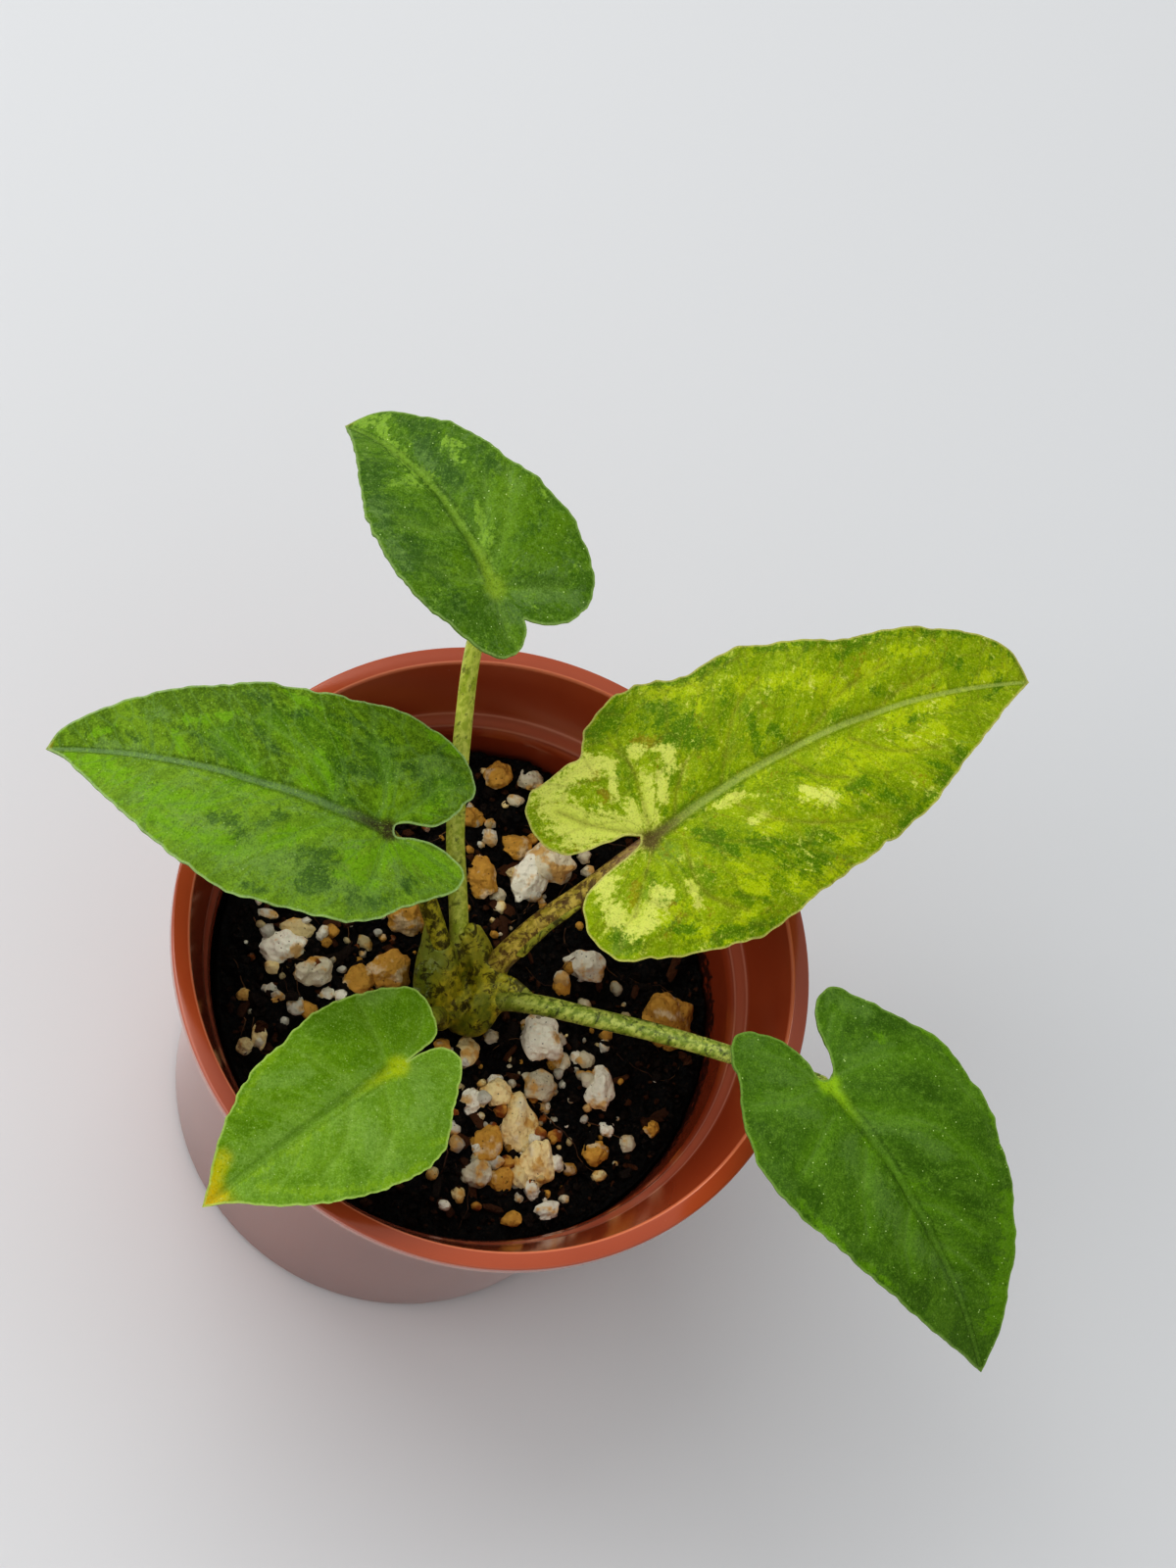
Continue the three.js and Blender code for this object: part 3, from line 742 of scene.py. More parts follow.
def chip_shape(ball, size, draw):
    """A broken, foamy stone: a ball with flats, lumps and craters, with sizes in millimetres."""
    corners, faces = ball
    shape = corners.copy()
    for _ in range(FLAT_COUNT):
        direction = np.array([draw.gauss(0, 1), draw.gauss(0, 1), draw.gauss(0, 0.8)])
        direction /= np.linalg.norm(direction)
        over = np.maximum(shape @ direction - draw.uniform(0.66, 0.92), 0.0)
        shape -= 0.8 * over[:, None] * direction
    offset = Vector((draw.uniform(0, 50), draw.uniform(0, 50), draw.uniform(0, 50)))
    swell = np.empty(len(shape))
    for row, corner in enumerate(corners):
        spot = Vector(corner)
        swell[row] = 1 + 0.26 * noise.noise(spot * 1.5 + offset) + 0.11 * noise.noise(spot * 3.6 + offset)
        swell[row] += 0.03 * noise.noise(spot * 8.5 - offset)
    for _ in range(CRATER_COUNT):
        crater = np.array([draw.gauss(0, 1), draw.gauss(0, 1), draw.gauss(0.3, 0.8)])
        crater /= np.linalg.norm(crater)
        gap = np.linalg.norm(corners - crater, axis=1)
        swell -= draw.uniform(0.05, 0.16) * np.exp(-(gap / draw.uniform(0.12, 0.26)) ** 2)
    return shape * swell[:, None] * np.array(size) / 2, faces


def chip_colour(draw, kind, low, high):
    """A chip's own colour, a little darker or lighter than its kind."""
    tone = draw.uniform(low, high)
    return np.array(paint(*[c * tone for c in CHIP_COLOURS[kind]]))


draw = random.Random(3)
stones = []
for x, y, width, length, kind in CHIPS:
    height = 0.95 * min(width, length)
    ball = fine_ball if max(width, length) > FINE_FROM else medium_ball
    # The flats and craters take about a fifth off a ball, so it starts larger.
    shape, faces = chip_shape(ball, (width * 1.22, length * 1.2, height), draw)
    heading = Matrix.Rotation(draw.uniform(-0.35, 0.35), 3, "Z")
    turned = heading @ Matrix.Rotation(draw.uniform(-0.3, 0.3), 3, "X")
    lift = mix_height(x, y) + 0.16 * height
    stones.append((shape @ np.array(turned).T + [x, y, lift], faces, chip_colour(draw, kind, 0.92, 1.04)))
CLUSTERS = [
    (6.0, -21.5, 5.0, 70, "wwcccgoob"), (-12.0, 0.5, 3.2, 40, "oooowcb"), (6.0, 19.0, 5.0, 40, "wwccgoo"),
    (14.0, -10.0, 5.0, 36, "wwcgo"), (-22.0, -1.0, 5.0, 30, "wwcgb"), (0.0, 0.0, 16.0, 150, "wwwccggoob"),
]
for centre_x, centre_y, spread, count, kinds in CLUSTERS:
    for index in range(count):
        while True:
            x, y = draw.gauss(centre_x, spread), draw.gauss(centre_y, spread)
            if math.hypot(x, y) < 30.0 and from_crown(x, y) > 5.0:
                break
        size = draw.uniform(0.6, 1.5) if index % 4 else draw.uniform(1.4, 2.5)
        shape, faces = chip_shape(round_ball, (size, size * draw.uniform(0.7, 1.3), size * 0.85), draw)
        colour = chip_colour(draw, draw.choice(kinds), 0.75, 1.02)
        spot = [x, y, crumbly_height(x, y) + 0.2 * size]
        stones.append((shape @ spin_matrix(draw).T + spot, faces, colour))
chips = gather("mix_chips", stones)
smooth(chips, 50)
print("chips:", len(stones))

# %% [markdown]
# ### Porous stone
# The chip's own colour comes with the mesh. Ochre water stains and paler bare spots with soft edges are
# laid over it, then brown pores, holes darkened with painted shade, peat caught in them, and a fine bump for
# the foamy grain.

# %% Finish the chips
stone = Finish("porous stone", {"Roughness": 0.85, "Specular IOR Level": 0.35})
own = stone.field("tint", "Color")
stain = stone.grain(2.6, 3.0, 0.55)
foam = stone.cells(0.5)
hole = stone.cells(1.1)
dirt = stone.grain(0.7, 5.0, 0.75)
shade = stone.layered(
    own,
    (paint(222, 174, 88), stone.step(stain, 0.5, 0.64, 0.8)),
    (paint(250, 246, 230), stone.step(stain, 0.46, 0.34, 0.4)),
    (paint(126, 96, 60), stone.step(foam, 0.2, 0.06, 0.3)),
    # The holes are painted dark: painted shade inside the pits.
    (paint(52, 38, 26), stone.step(hole, 0.13, 0.07, 0.6)),
    (paint(50, 36, 24), stone.step(dirt, 0.63, 0.70, 0.8)),
)
stone.relief(foam, 0.12)
stone.relief(hole, 0.25)
stone.relief(dirt, 0.15)
coat(chips, stone.finish(shade))
hand_in(chips, "mix")

# %% [markdown]
# ## The leaves as numbers
# Each blade lies on its own gently arched plane: a joint on the stalk, a heading and a slope, and a
# smooth outline on each side of the midrib from the notch round the basal lobe to the tip. Arch is how
# far the blade rises along its middle, bow how far the midrib bends sideways, and wave how far the margin
# ripples. Veins are a few points each in the same plane, and a patch of colour is a brush stroke: its
# width and the points it goes through. All of it is in millimetres, and the two angles are in degrees.

# %% Describe the back and left leaves
# The grey-green strokes in each leaf below are a painted sheen: light that a blade reflects, laid on as
# colour.
LEAVES = {}
LEAVES["back"] = {
    "join": (-10.5, 28.5, 102), "heading": 126, "slope": -16,
    "length": 29, "arch": 4, "bow": -0.9, "wave": 0.2,
    "left": [(-4.3, -1.1), (-5.5, -0.6), (-6.9, 1.7), (-6.9, 3.5), (-6, 5), (-3.7, 6.4), (-0.6, 8),
             (3.3, 9.4), (7.7, 9.6), (12.8, 8.7), (16.7, 6.8), (21.2, 4.1), (26.3, 1.2)],
    "right": [(-4.3, -1.1), (-5.5, -2.3), (-6.5, -4), (-7.1, -6.1), (-6.7, -8.2), (-5.2, -10.5),
              (-3.3, -11.7), (-0.6, -12.5), (2.2, -12.8), (5.4, -12.3), (8.9, -11.3), (12.7, -9.9),
              (17.7, -8.8), (23.5, -6.1), (27.8, -3.6)],
    "veins": [[(2.2, -0.9), (3.7, -3.6), (6.9, -7), (9.9, -9.3)], [(5.1, -1.2), (7.3, -4.1), (10.3, -6)],
              [(-0.1, 0.1), (-2, -3.4), (-3.8, -7)], [(-0.2, 0.5), (-2.6, 0.9), (-5.2, 1.6)],
              [(1.6, 0.3), (2.1, 3.4), (4.8, 5.6)], [(8.3, -1.1), (8.2, 3.1), (10.8, 5.4)]],
    "lime": [(0.7, (28.1, -1.5), (25.7, -2.2), (23.3, -1.4), (20.5, -0.8), (17.4, -0.6), (14.2, -0.8)),
             (0.5, (28.7, -2.3), (26, -3.7)), (0.5, (17.6, -5.5), (16.6, -5.8), (15.1, -5.2)),
             (0.3, (15.2, -5.1), (14.1, -4.7)), (0.4, (17.6, -6), (15.7, -6.8)),
             (0.3, (13.5, -0.7), (9.8, -0.9), (6.5, -0.9), (3.2, -0.6)),
             (0.5, (9.1, -3.5), (7, -3.2), (5.4, -2.6), (3.5, -1.3), (0.6, -0.2)),
             (0.6, (7.1, -3), (4.7, -2.5)), (0.3, (7.5, -11.3), (5.6, -11.2))],
    "deep": [(1.8, (8.9, -8.5), (4.5, -9.1), (1.6, -9.1), (0.3, -6)), (1.1, (7.7, -6), (5.1, -5.7)),
             (0.9, (4.2, 2), (1.8, 3.3))],
    "dark": [(1.4, (20, 3.3), (15, 5.7), (10.3, 5.9), (5.9, 6.2)),
             (1.2, (18.9, -4.6), (14.2, -3.4), (12.2, -3.4)), (1.1, (8.7, 5.3), (2.6, 5.3), (-0.2, 5.2)),
             (0.8, (23.6, -4.4), (20.5, -5.8)), (0.9, (13.9, -8), (10.8, -8.2)),
             (0.7, (-0.9, -3), (-2.8, -6.8))],
    "grey": [(0.9, (2.2, 0.3), (-1.1, 0.6), (-3.2, 0.2)), (1.0, (-2.4, -2), (-3.7, -5.2), (-5.7, -7.2)),
             (0.9, (14.5, 6.5), (11.9, 7)), (0.7, (18.9, -3.4), (15.7, -2.3)), (0.8, (8.7, 8.3), (5.7, 8)),
             (0.7, (11.1, -8.5), (7.3, -9)), (0.7, (1, -4.4), (-1.2, -6.2))],
}
LEAVES["left"] = {
    "join": (-18.5, 5, 84), "heading": 167, "slope": -11,
    "length": 40.5, "arch": 4.5, "bow": -0.5, "wave": 0.25,
    "left": [(-0.7, -0.2), (-1, 0.3), (-3.3, -0.4), (-5.6, -0.5), (-7.5, -0.1), (-9.3, 1.1), (-9.5, 3.3),
             (-5.3, 7.5), (-0.6, 11.5), (2.5, 12.8), (7.4, 13.3), (14.1, 13.7), (18.9, 12.5), (25.4, 9.4),
             (32.5, 5), (38.9, 0.5)],
    "right": [(-0.7, -0.2), (-0.7, -0.9), (-1.8, -1.6), (-5.3, -2.7), (-7.4, -5.8), (-8.4, -8.2),
              (-7.2, -11), (-3.4, -13.8), (3.3, -14.6), (11.1, -13.2), (16.8, -12.5), (23.2, -10.5),
              (29.5, -8.2), (35.7, -5), (39.3, -2.5)],
    "veins": [[(6.1, -0.7), (8.7, -3.3), (12, -5.8), (16.5, -7.5)],
              [(6.1, 1.3), (9.7, 5), (14.4, 8.4), (19.8, 9.4), (24.8, 7.7)],
              [(-0.1, 0.7), (-0.1, 4.2), (0.3, 7.8)], [(-0.3, -1.5), (-2.4, -4), (-4.4, -7.6)],
              [(-0.7, 0.8), (-4.1, 0.6), (-7.3, 1.6)], [(14.5, -0.2), (17.4, -2.4), (22.1, -4.8)],
              [(16.7, 0.1), (19.7, 3.5), (24.3, 5.3)], [(1.4, -0.5), (1.4, -5), (3.6, -9.1)]],
    "dark": [(1.1, (5.9, -5.4), (3.2, -5.4), (2, -7), (3, -9), (5.2, -8)), (1.1, (-0.9, -8.4), (-2.8, -7)),
             (1.2, (8.2, 6.7), (5.7, 6.3), (6.4, 8.1)), (0.6, (13.6, 5), (12, 3.2)),
             (0.8, (17, -5.6), (14.6, -4.5)), (0.8, (23.2, -3.5), (20.5, -2.7)),
             (0.8, (31.6, -2.6), (28.8, -2)), (0.7, (18.8, -10.3), (16.6, -9.8)),
             (0.8, (18.6, 5.5), (16, 5.8), (15.5, 7.3)), (0.5, (13.7, -8.9), (11.9, -10.2)),
             (0.7, (-3.8, 5.4), (-1.5, 8.9), (1.4, 9.6)), (0.6, (4.7, 9.2), (7.4, 10.8)),
             (0.5, (13.7, 12.2), (11.1, 12.5)), (0.4, (9.3, -10.6), (5.7, -10.9)),
             (0.5, (4.3, -1.6), (7.4, -1)), (0.5, (-2.8, -11.9), (-4.2, -10.7))],
    "grey": [(0.7, (5, -4.1), (0.3, -6.7)), (0.9, (5.4, 4.3), (2.9, 3.8)),
             (2.0, (27, 4.5), (18, 7.8), (9, 9.5), (1, 9)), (1.2, (-3, -9.5), (-5.5, -9), (-5.8, -6.2)),
             (0.3, (24.9, 0.3), (13.9, 1.9), (3.7, 1)), (0.9, (9.1, 8.2), (5.8, 8.9)),
             (0.7, (-1.3, 3.6), (-2.9, 5.8)), (0.4, (-6, -7.9), (-7.6, -7.5)),
             (0.7, (33.9, -1.2), (27.8, -0.4)), (0.7, (29.8, -5.6), (26.6, -5.6))],
    "lime": [(1.2, (35.9, 1.1), (29.4, 3), (23.7, 4.3), (19.7, 3.9)),
             (0.9, (25.5, 7.1), (21, 8.3), (16.2, 8.7)), (0.9, (12.7, 6.6), (10, 5)),
             (1.3, (2.1, 5.2), (-2, 2.1), (-5.7, 2)), (0.7, (-0.6, -14.1), (-5.4, -12.3)),
             (0.7, (12, -2.7), (9.1, -1.5)), (0.6, (18.5, 0.4), (16.4, -1.4)),
             (0.5, (24.9, -5.3), (20.6, -7)), (0.6, (4, 7.8), (-0, 7.2)), (0.6, (-5.4, -5.7), (-3.7, -3.8)),
             (0.7, (9.5, -5.2), (7.3, -2.7)), (0.5, (26, -3.5), (24.4, -1.6)),
             (0.5, (14.5, -11.8), (11.1, -11.1)), (0.4, (35.3, -2.2), (33.3, -2.9))],
    "deep": [(1.6, (15.6, -8.3), (9.2, -8.2), (8.1, -4)), (1.1, (20.1, -5.3), (17.7, -2.1)),
             (1.0, (-4.3, -5.9), (-6, -9.7))],
}
print("described:", list(LEAVES))

# %% Describe the large variegated leaf
LEAVES["right"] = {
    "join": (14, 8.5, 80), "heading": 27, "slope": 4,
    "length": 54.5, "arch": 4, "bow": 3.2, "wave": 0.45,
    "left": [(-0.8, 1), (-2.3, 1.8), (-4.5, 1.9), (-9.9, 3.1), (-11.9, 6.8), (-11.7, 9.4), (-9.6, 11.8),
             (-5.5, 12.4), (-3.4, 12.9), (-1.6, 15.1), (2.1, 17.5), (6.9, 18.2), (12.5, 16.7), (19.4, 17.2),
             (25.3, 15.6), (31, 13.5), (38.9, 12.1), (44.2, 10.6), (51, 7.2), (53.9, 4.4)],
    "right": [(-0.8, 1), (-1.2, 0.2), (-3.4, -0.6), (-8.5, -2.1), (-10.4, -3.8), (-11.3, -6.5),
              (-10.1, -10.7), (-8.3, -12.2), (-2.3, -14.2), (3.3, -15.8), (9, -15.9), (15.6, -14.3),
              (24.4, -12.6), (31.5, -10.8), (39.1, -7.1), (46.7, -3.4), (52.2, -0.9)],
    "veins": [[(9.9, 1.6), (12.7, 5.9), (16.2, 10.3), (20.4, 12.5)],
              [(0.5, 0.7), (1.2, 5.2), (1.7, 8.9), (0.8, 12.8)], [(-0.5, 1.2), (-5.3, 4.6), (-8.1, 7.9)],
              [(11.1, -0.7), (14.4, -4.4), (20.2, -7.4), (26.8, -9.3)],
              [(3.3, -2.5), (2.5, -7), (3.6, -10.1), (6.6, -12.7)],
              [(-0.1, -1.1), (-3, -4.3), (-5.7, -7.6)], [(19.6, 1.5), (21.3, -1.4), (24.4, -3.1)],
              [(18.8, 2.4), (24.7, 4.8), (30.1, 7.2), (36.4, 8.3)], [(29.6, 2.1), (36, 4.5), (43.1, 5.4)],
              [(3.3, -0.1), (5, 3.6), (7.7, 6.8)], [(27.6, 1.2), (31.8, -2.4), (37.5, -3.9)]],
    "dark": [(1.4, (-0.3, 14.7), (3.6, 15.8), (7.2, 14.5)), (0.9, (5.8, 18), (11.3, 16.9), (18.3, 16.3)),
             (1.7, (6.8, 14.5), (9.5, 10.6), (9.3, 8.8)), (1.0, (15.1, 11.4), (13.5, 6.9), (10.6, 3.9)),
             (1.3, (5.8, 5.9), (6.5, 2.9), (3.8, 1.3)),
             (0.7, (1.4, 11.2), (0.9, 8.5), (0.7, 4.9), (0.6, 2.3)), (0.5, (-5, 5.5), (-4.6, 4)),
             (0.6, (20.9, 16.7), (29.1, 13.6), (39.2, 11.4), (50.1, 7.7), (54, 3.6)),
             (0.7, (24.7, 5.2), (27.8, 4.7)), (0.7, (18.9, 5.7), (20.1, 3.4)),
             (0.7, (17.1, 9.8), (16.1, 4.2)), (0.5, (33, 5.7), (35.3, 4.2)),
             (0.8, (43.9, 6.1), (45.2, 5.2)), (0.5, (50.8, 4.4), (51.1, 4.2)),
             (0.5, (34.5, 11.8), (30.8, 11)), (0.5, (47.2, -0.3), (50.9, 1.3)),
             (0.8, (27.9, -7.4), (29.3, -8.7)), (0.6, (23.9, -7.7), (25.5, -7.5)),
             (0.5, (34.7, -5.1), (36, -6.1)), (1.1, (10.5, -6.2), (14.7, -8.1), (18.9, -8.5)),
             (0.9, (15.4, -9.7), (17.3, -10.9)), (0.9, (12.4, -9.8), (15.7, -12.5)),
             (1.1, (5.5, -2.1), (7.3, -5.4)), (0.7, (-2.2, -10.6), (-0.6, -12.2)),
             (0.6, (9.1, -12.4), (9.2, -12.8)), (0.9, (-9, -8.7), (-6.8, -11.7)),
             (0.5, (-8.9, -5.7), (-8.9, -6)), (0.7, (20.8, -14.5), (14.4, -15.6), (8.8, -15), (2, -14)),
             (0.7, (40.2, -5.7), (32.5, -9.4), (24.4, -13.3)), (0.8, (2.6, -5.2), (3.4, -7.9)),
             (0.6, (7.5, 1.7), (11.9, 1.9)), (0.5, (35.9, 0.3), (38.6, 0.6)),
             (0.5, (18.9, -0), (21.6, -0.5)), (0.4, (-5.4, 12), (-3.3, 13.3)),
             (0.5, (23.3, -4.4), (26.1, -4.9)), (0.5, (6.3, -10.5), (7, -12.2)),
             (0.5, (-2.1, -3.3), (-2.1, -4.8))],
    "grey": [(1.1, (0.6, -1), (2.8, -4.6)), (0.7, (-3.3, -5.7), (-1.6, -9.5)),
             (0.8, (-7.8, -6.3), (-8.8, -10.1))],
    "lime": [(1.0, (7.5, 16.2), (12.2, 14.5)), (0.9, (17.8, 12.5), (23, 11)),
             (1.1, (25.5, 10), (29.2, 7.6)), (0.9, (27.2, 1.1), (22.5, 0.7)),
             (1.3, (33.7, 1.3), (42.2, 1.4)), (0.7, (46.9, 1.7), (51.6, 2.6)),
             (1.3, (19.1, -3.1), (22.3, -5.1)), (0.8, (12.1, -4.7), (15, -4.6)),
             (1.1, (25.7, -1.7), (31.4, -2.5), (38.3, -1.9)),
             (0.9, (7.2, -8.8), (8.7, -11.6), (5.1, -13.4)), (0.9, (12.8, -12.7), (18.6, -12.5)),
             (0.9, (-0.6, -12.1), (3.2, -14.5)), (0.7, (20, -9.5), (22.6, -10.5)),
             (0.8, (12.3, 12), (14.6, 13.3)), (0.7, (-2.8, -8.9), (0.6, -9.2)),
             (0.6, (37.9, 9.2), (42.2, 7.8)), (0.7, (33.5, 8.5), (35.8, 8.4))],
    "cream": [(1.8, (-7.9, 10.8), (-7.1, 5.4), (-4.1, 2.9), (-0.9, 2.4)), (1.3, (-5.8, 11.2), (-2.4, 10.9)),
              (0.7, (2.9, 10.4), (5.9, 9.2), (6, 6.5)), (0.6, (2.7, 6.7), (1.1, 2.6)),
              (1.0, (-7.1, -2.2), (-7.8, -6.3), (-5.5, -8.9), (-2.2, -6.4)),
              (0.7, (-5.6, -7.5), (-4.7, -9.4)), (0.6, (-1.1, -6.9), (-1.1, -7.1)),
              (0.7, (18.9, -2.8), (21.5, -4.8)), (0.5, (-0.3, 10.6), (-1.9, 6.2)),
              (0.5, (4.2, 6.5), (3.3, 3.7)), (0.5, (1.7, -6.8), (1.4, -9.6)),
              (0.4, (11.2, -3.4), (13.5, -3.1)), (0.5, (8.8, 0.2), (11.8, 0.3))],
    "deep": [(0.9, (-2.7, 11.1), (-2.5, 10.7)), (0.7, (3.4, 11.4), (5.3, 10.8)),
             (0.5, (-2.7, 7.4), (-2.7, 6.7)), (0.5, (-3.8, -3.9), (-5.1, -6.2)),
             (0.4, (-1.2, -8.6), (-1.1, -9.8))],
}
print("described:", list(LEAVES))

# %% Describe the two front leaves
LEAVES["front_right"] = {
    "join": (37, -18.5, 76), "heading": -55, "slope": -15,
    "length": 39.5, "arch": 4.5, "bow": 0.6, "wave": 0.3,
    "left": [(-0.3, 0.4), (-0.7, 1.3), (-3.3, 2.6), (-6.8, 3.7), (-8.9, 5.9), (-8.9, 8.1), (-6.4, 10),
             (-3.2, 11.9), (1.7, 15), (8.3, 15.9), (13.5, 15.4), (20.3, 13.2), (26.6, 10.2), (32.3, 6.4),
             (37, 2.8)],
    "right": [(-0.3, 0.4), (-0.7, -0.5), (-3.3, -0.5), (-6.4, -1.4), (-9.5, -4.2), (-9.9, -6.6),
              (-7.6, -8.7), (-4.7, -9.9), (-1.6, -12.1), (3.6, -13.6), (8.9, -13.4), (15.3, -11.4),
              (22.5, -8.6), (30.5, -5), (36.4, -1.6)],
    "veins": [[(-0.3, 1.1), (0.2, 5.4), (1.8, 10.2), (5.7, 13.5), (11.7, 14.5)],
              [(3.6, 0.3), (6.1, 2.9), (8.9, 6.5), (13.4, 9.1), (19, 10.1)],
              [(8.4, -1.1), (12.1, -4.6), (16.6, -7.4)], [(0, -1.3), (-0.7, -5.3), (-2.5, -9.7)],
              [(3.3, -2.1), (4.8, -5.8), (6.5, -9.6)], [(-1.3, 1.4), (-4.2, 3.3), (-6.3, 5.8)],
              [(16.2, 0.2), (19.3, 3.4), (24.1, 5.8)], [(16.7, -0.1), (20, -3.4), (23.2, -4.6)],
              [(-0.7, -1.1), (-4, -2.2), (-6.7, -4.6)], [(21.7, 0.6), (25.7, 2.9), (30, 4.5)]],
    "grey": [(1.5, (-8.3, -5.2), (-4.9, -4.7), (-2, -3.6)), (1.1, (-1.5, -6.7), (3.1, -4.1)),
             (1.3, (7.6, -3.2), (11, -3.3), (15.5, -3), (19.3, -2.4), (23.8, -0.8)),
             (1.1, (6.1, 1.2), (9, 4.7), (13.2, 6.6)), (1.0, (-8.1, 7.2), (-4.8, 8.9)),
             (0.8, (24.3, 0.1), (29.1, 0.8)), (1.0, (-0.8, 3.9), (0.2, 8))],
    "lime": [(1.1, (22.2, 11.5), (27.3, 8.8), (31.3, 5.9), (34.7, 2.8)), (0.6, (13.5, 15.6), (17.2, 14.3)),
             (0.4, (3.5, 15.1), (9.2, 15.7)), (0.4, (8.6, -12.3), (16.3, -10.6), (23.5, -7.2)),
             (0.3, (-3.5, -11.6), (2.6, -13.3)),
             (0.4, (-0.8, -0.8), (0.6, -0.6), (3.1, -0.2), (6.5, -0.5), (10.3, 0.1), (15.1, 0.7)),
             (0.4, (-0.4, -0.8), (0.3, 0.8)), (0.5, (-1.7, 8.7), (-0.7, 8.8)),
             (0.4, (0.6, 14.4), (2.9, 15.7))],
    "dark": [(1.3, (6.4, -11.2), (9.3, -10.6)), (1.1, (11.9, 2.8), (16.4, 4.5)),
             (1.1, (19.4, 6.6), (25.2, 5.3), (28.2, 3)), (1.0, (22.2, -6.4), (26.6, -4.1)),
             (0.9, (-3.9, 6.5), (-2.1, 11.2)), (0.7, (3.4, 7.2), (7.3, 10.2)),
             (0.7, (-0.3, -10.7), (3.2, -10.7))],
}
LEAVES["front_left"] = {
    "join": (-14, -19, 71), "heading": -142, "slope": -15,
    "length": 27.5, "arch": 3, "bow": 0, "wave": 0.2,
    "left": [(-1.2, 0.1), (-3.4, 0.2), (-5.9, 1.2), (-6.5, 3.6), (-4.7, 5.7), (-1.6, 8.5), (1, 10.9),
             (4.2, 11.8), (9.4, 11), (15.2, 8.7), (20.8, 5.1), (24.6, 1.7)],
    "right": [(-1.2, 0.1), (-3.5, -0.1), (-5.9, -0.6), (-7.1, -2.8), (-7.2, -6.2), (-5.1, -8), (-1.3, -9.5),
              (3.5, -10.5), (9.5, -9.7), (14.2, -8.9), (19, -6.6), (23, -3.8), (25, -2)],
    "veins": [[(2.7, 1.1), (4.7, 5.7), (7.7, 8)], [(6.8, 0.6), (10.2, 3.9), (14.4, 5.6)],
              [(-0.5, -1), (-3.7, -1.5), (-6.1, -3.4)], [(-0.2, 0.8), (-3.2, 2.2), (-4.6, 4.1)],
              [(1.3, -0.3), (0.1, -3.9), (-0.5, -7.7)], [(5, 0), (6.8, -4.2), (8.7, -8.3)],
              [(10.8, 0.5), (13.5, -3.4), (15.4, -6.1)], [(13.6, 0.6), (16.4, 2.7), (19.1, 3.5)]],
    "grey": [(1.7, (21.9, -1), (14.8, -0.4), (8.3, -0.4), (3.4, -0.8)),
             (1.6, (8.6, 1.3), (7.5, 5), (7.2, 8.5)), (1.4, (-0.3, 0.7), (-0.8, 4), (2, 6.4)),
             (1.0, (13.5, -6.8), (8.9, -5.4)), (0.7, (-1.3, -8.7), (-4.3, -7.7))],
    "dark": [(1.7, (5.3, -8.6), (0.6, -7.4), (-1.7, -4)), (0.9, (18.4, -4.4), (14.2, -4.5)),
             (0.9, (17.7, 3.7), (14.4, 5.6)), (0.8, (3.3, -3.5), (0.9, -2.9)),
             (0.7, (10.8, 4.5), (10.3, 7.7))],
    "yellow": [(0.3, (0.4, 0.4), (-1.2, 0.1)), (0.9, (26.6, 0.2), (24.3, -1.7), (22.4, -2.9)),
               (0.6, (26.6, 0.2), (24.8, 0.5))],
    "lime": [(0.5, (1.5, 0.5), (0.7, 0.5)), (0.5, (2.1, 9.7), (0.8, 10.1)),
             (0.5, (21.2, 2.1), (15.4, 7), (8.7, 10.6), (4.3, 11)),
             (0.4, (17.7, -6.1), (14, -8.1), (9.3, -9.5)), (0.4, (24.8, 0.5), (14.6, 0.7), (3.8, -0.2))],
}
print("described:", list(LEAVES))

# %% [markdown]
# ## From numbers to a blade
# The measured outline is a closed line with a deep notch, so the blade starts as that line filled with
# small triangles, and extra rows of points follow the veins to keep them crisp. Each point is then lifted
# to the arched surface in code, because a measured form can't be pulled by hand. Solidify gives the
# blade its thickness, and the underside then gets the raised ribs that a leaf has below.

# %% Smooth lines through points


def walked_along(line):
    """How far along a line each of its points lies."""
    return np.concatenate([[0], np.cumsum(np.linalg.norm(np.diff(line, axis=0), axis=1))])


def line_length(line):
    """The whole length of a line."""
    return float(np.linalg.norm(np.diff(line, axis=0), axis=1).sum())


def sideways(line):
    """The unit direction to the left of a flat line at each of its points."""
    along = np.gradient(line, axis=0)
    out = np.stack([-along[:, 1], along[:, 0]], 1)
    return out / np.linalg.norm(out, axis=1)[:, None]


SPAN_POINTS = 24


def smooth_line(points, count):
    """Evenly spaced points on a smooth line through the given ones (a centripetal spline)."""
    knots = np.array(points, dtype=float)
    ends = (2 * knots[0] - knots[1], 2 * knots[-1] - knots[-2])
    knots = np.vstack([ends[0], knots, ends[1]])
    pieces = []
    for p0, p1, p2, p3 in zip(knots, knots[1:], knots[2:], knots[3:]):
        t0 = 0.0
        t1 = t0 + max(np.linalg.norm(p1 - p0), 1e-9) ** 0.5
        t2 = t1 + max(np.linalg.norm(p2 - p1), 1e-9) ** 0.5
        t3 = t2 + max(np.linalg.norm(p3 - p2), 1e-9) ** 0.5
        t = np.linspace(t1, t2, SPAN_POINTS)[:, None]
        a1 = (t1 - t) / (t1 - t0) * p0 + (t - t0) / (t1 - t0) * p1
        a2 = (t2 - t) / (t2 - t1) * p1 + (t - t1) / (t2 - t1) * p2
        a3 = (t3 - t) / (t3 - t2) * p2 + (t - t2) / (t3 - t2) * p3
        b1 = (t2 - t) / (t2 - t0) * a1 + (t - t0) / (t2 - t0) * a2
        b2 = (t3 - t) / (t3 - t1) * a2 + (t - t1) / (t3 - t1) * a3
        pieces.append((t2 - t) / (t2 - t1) * b1 + (t - t1) / (t2 - t1) * b2)
    line = np.vstack(pieces)
    walked = walked_along(line)
    even = np.linspace(0, walked[-1], count)
    return np.stack([np.interp(even, walked, line[:, axis]) for axis in range(line.shape[1])], 1)


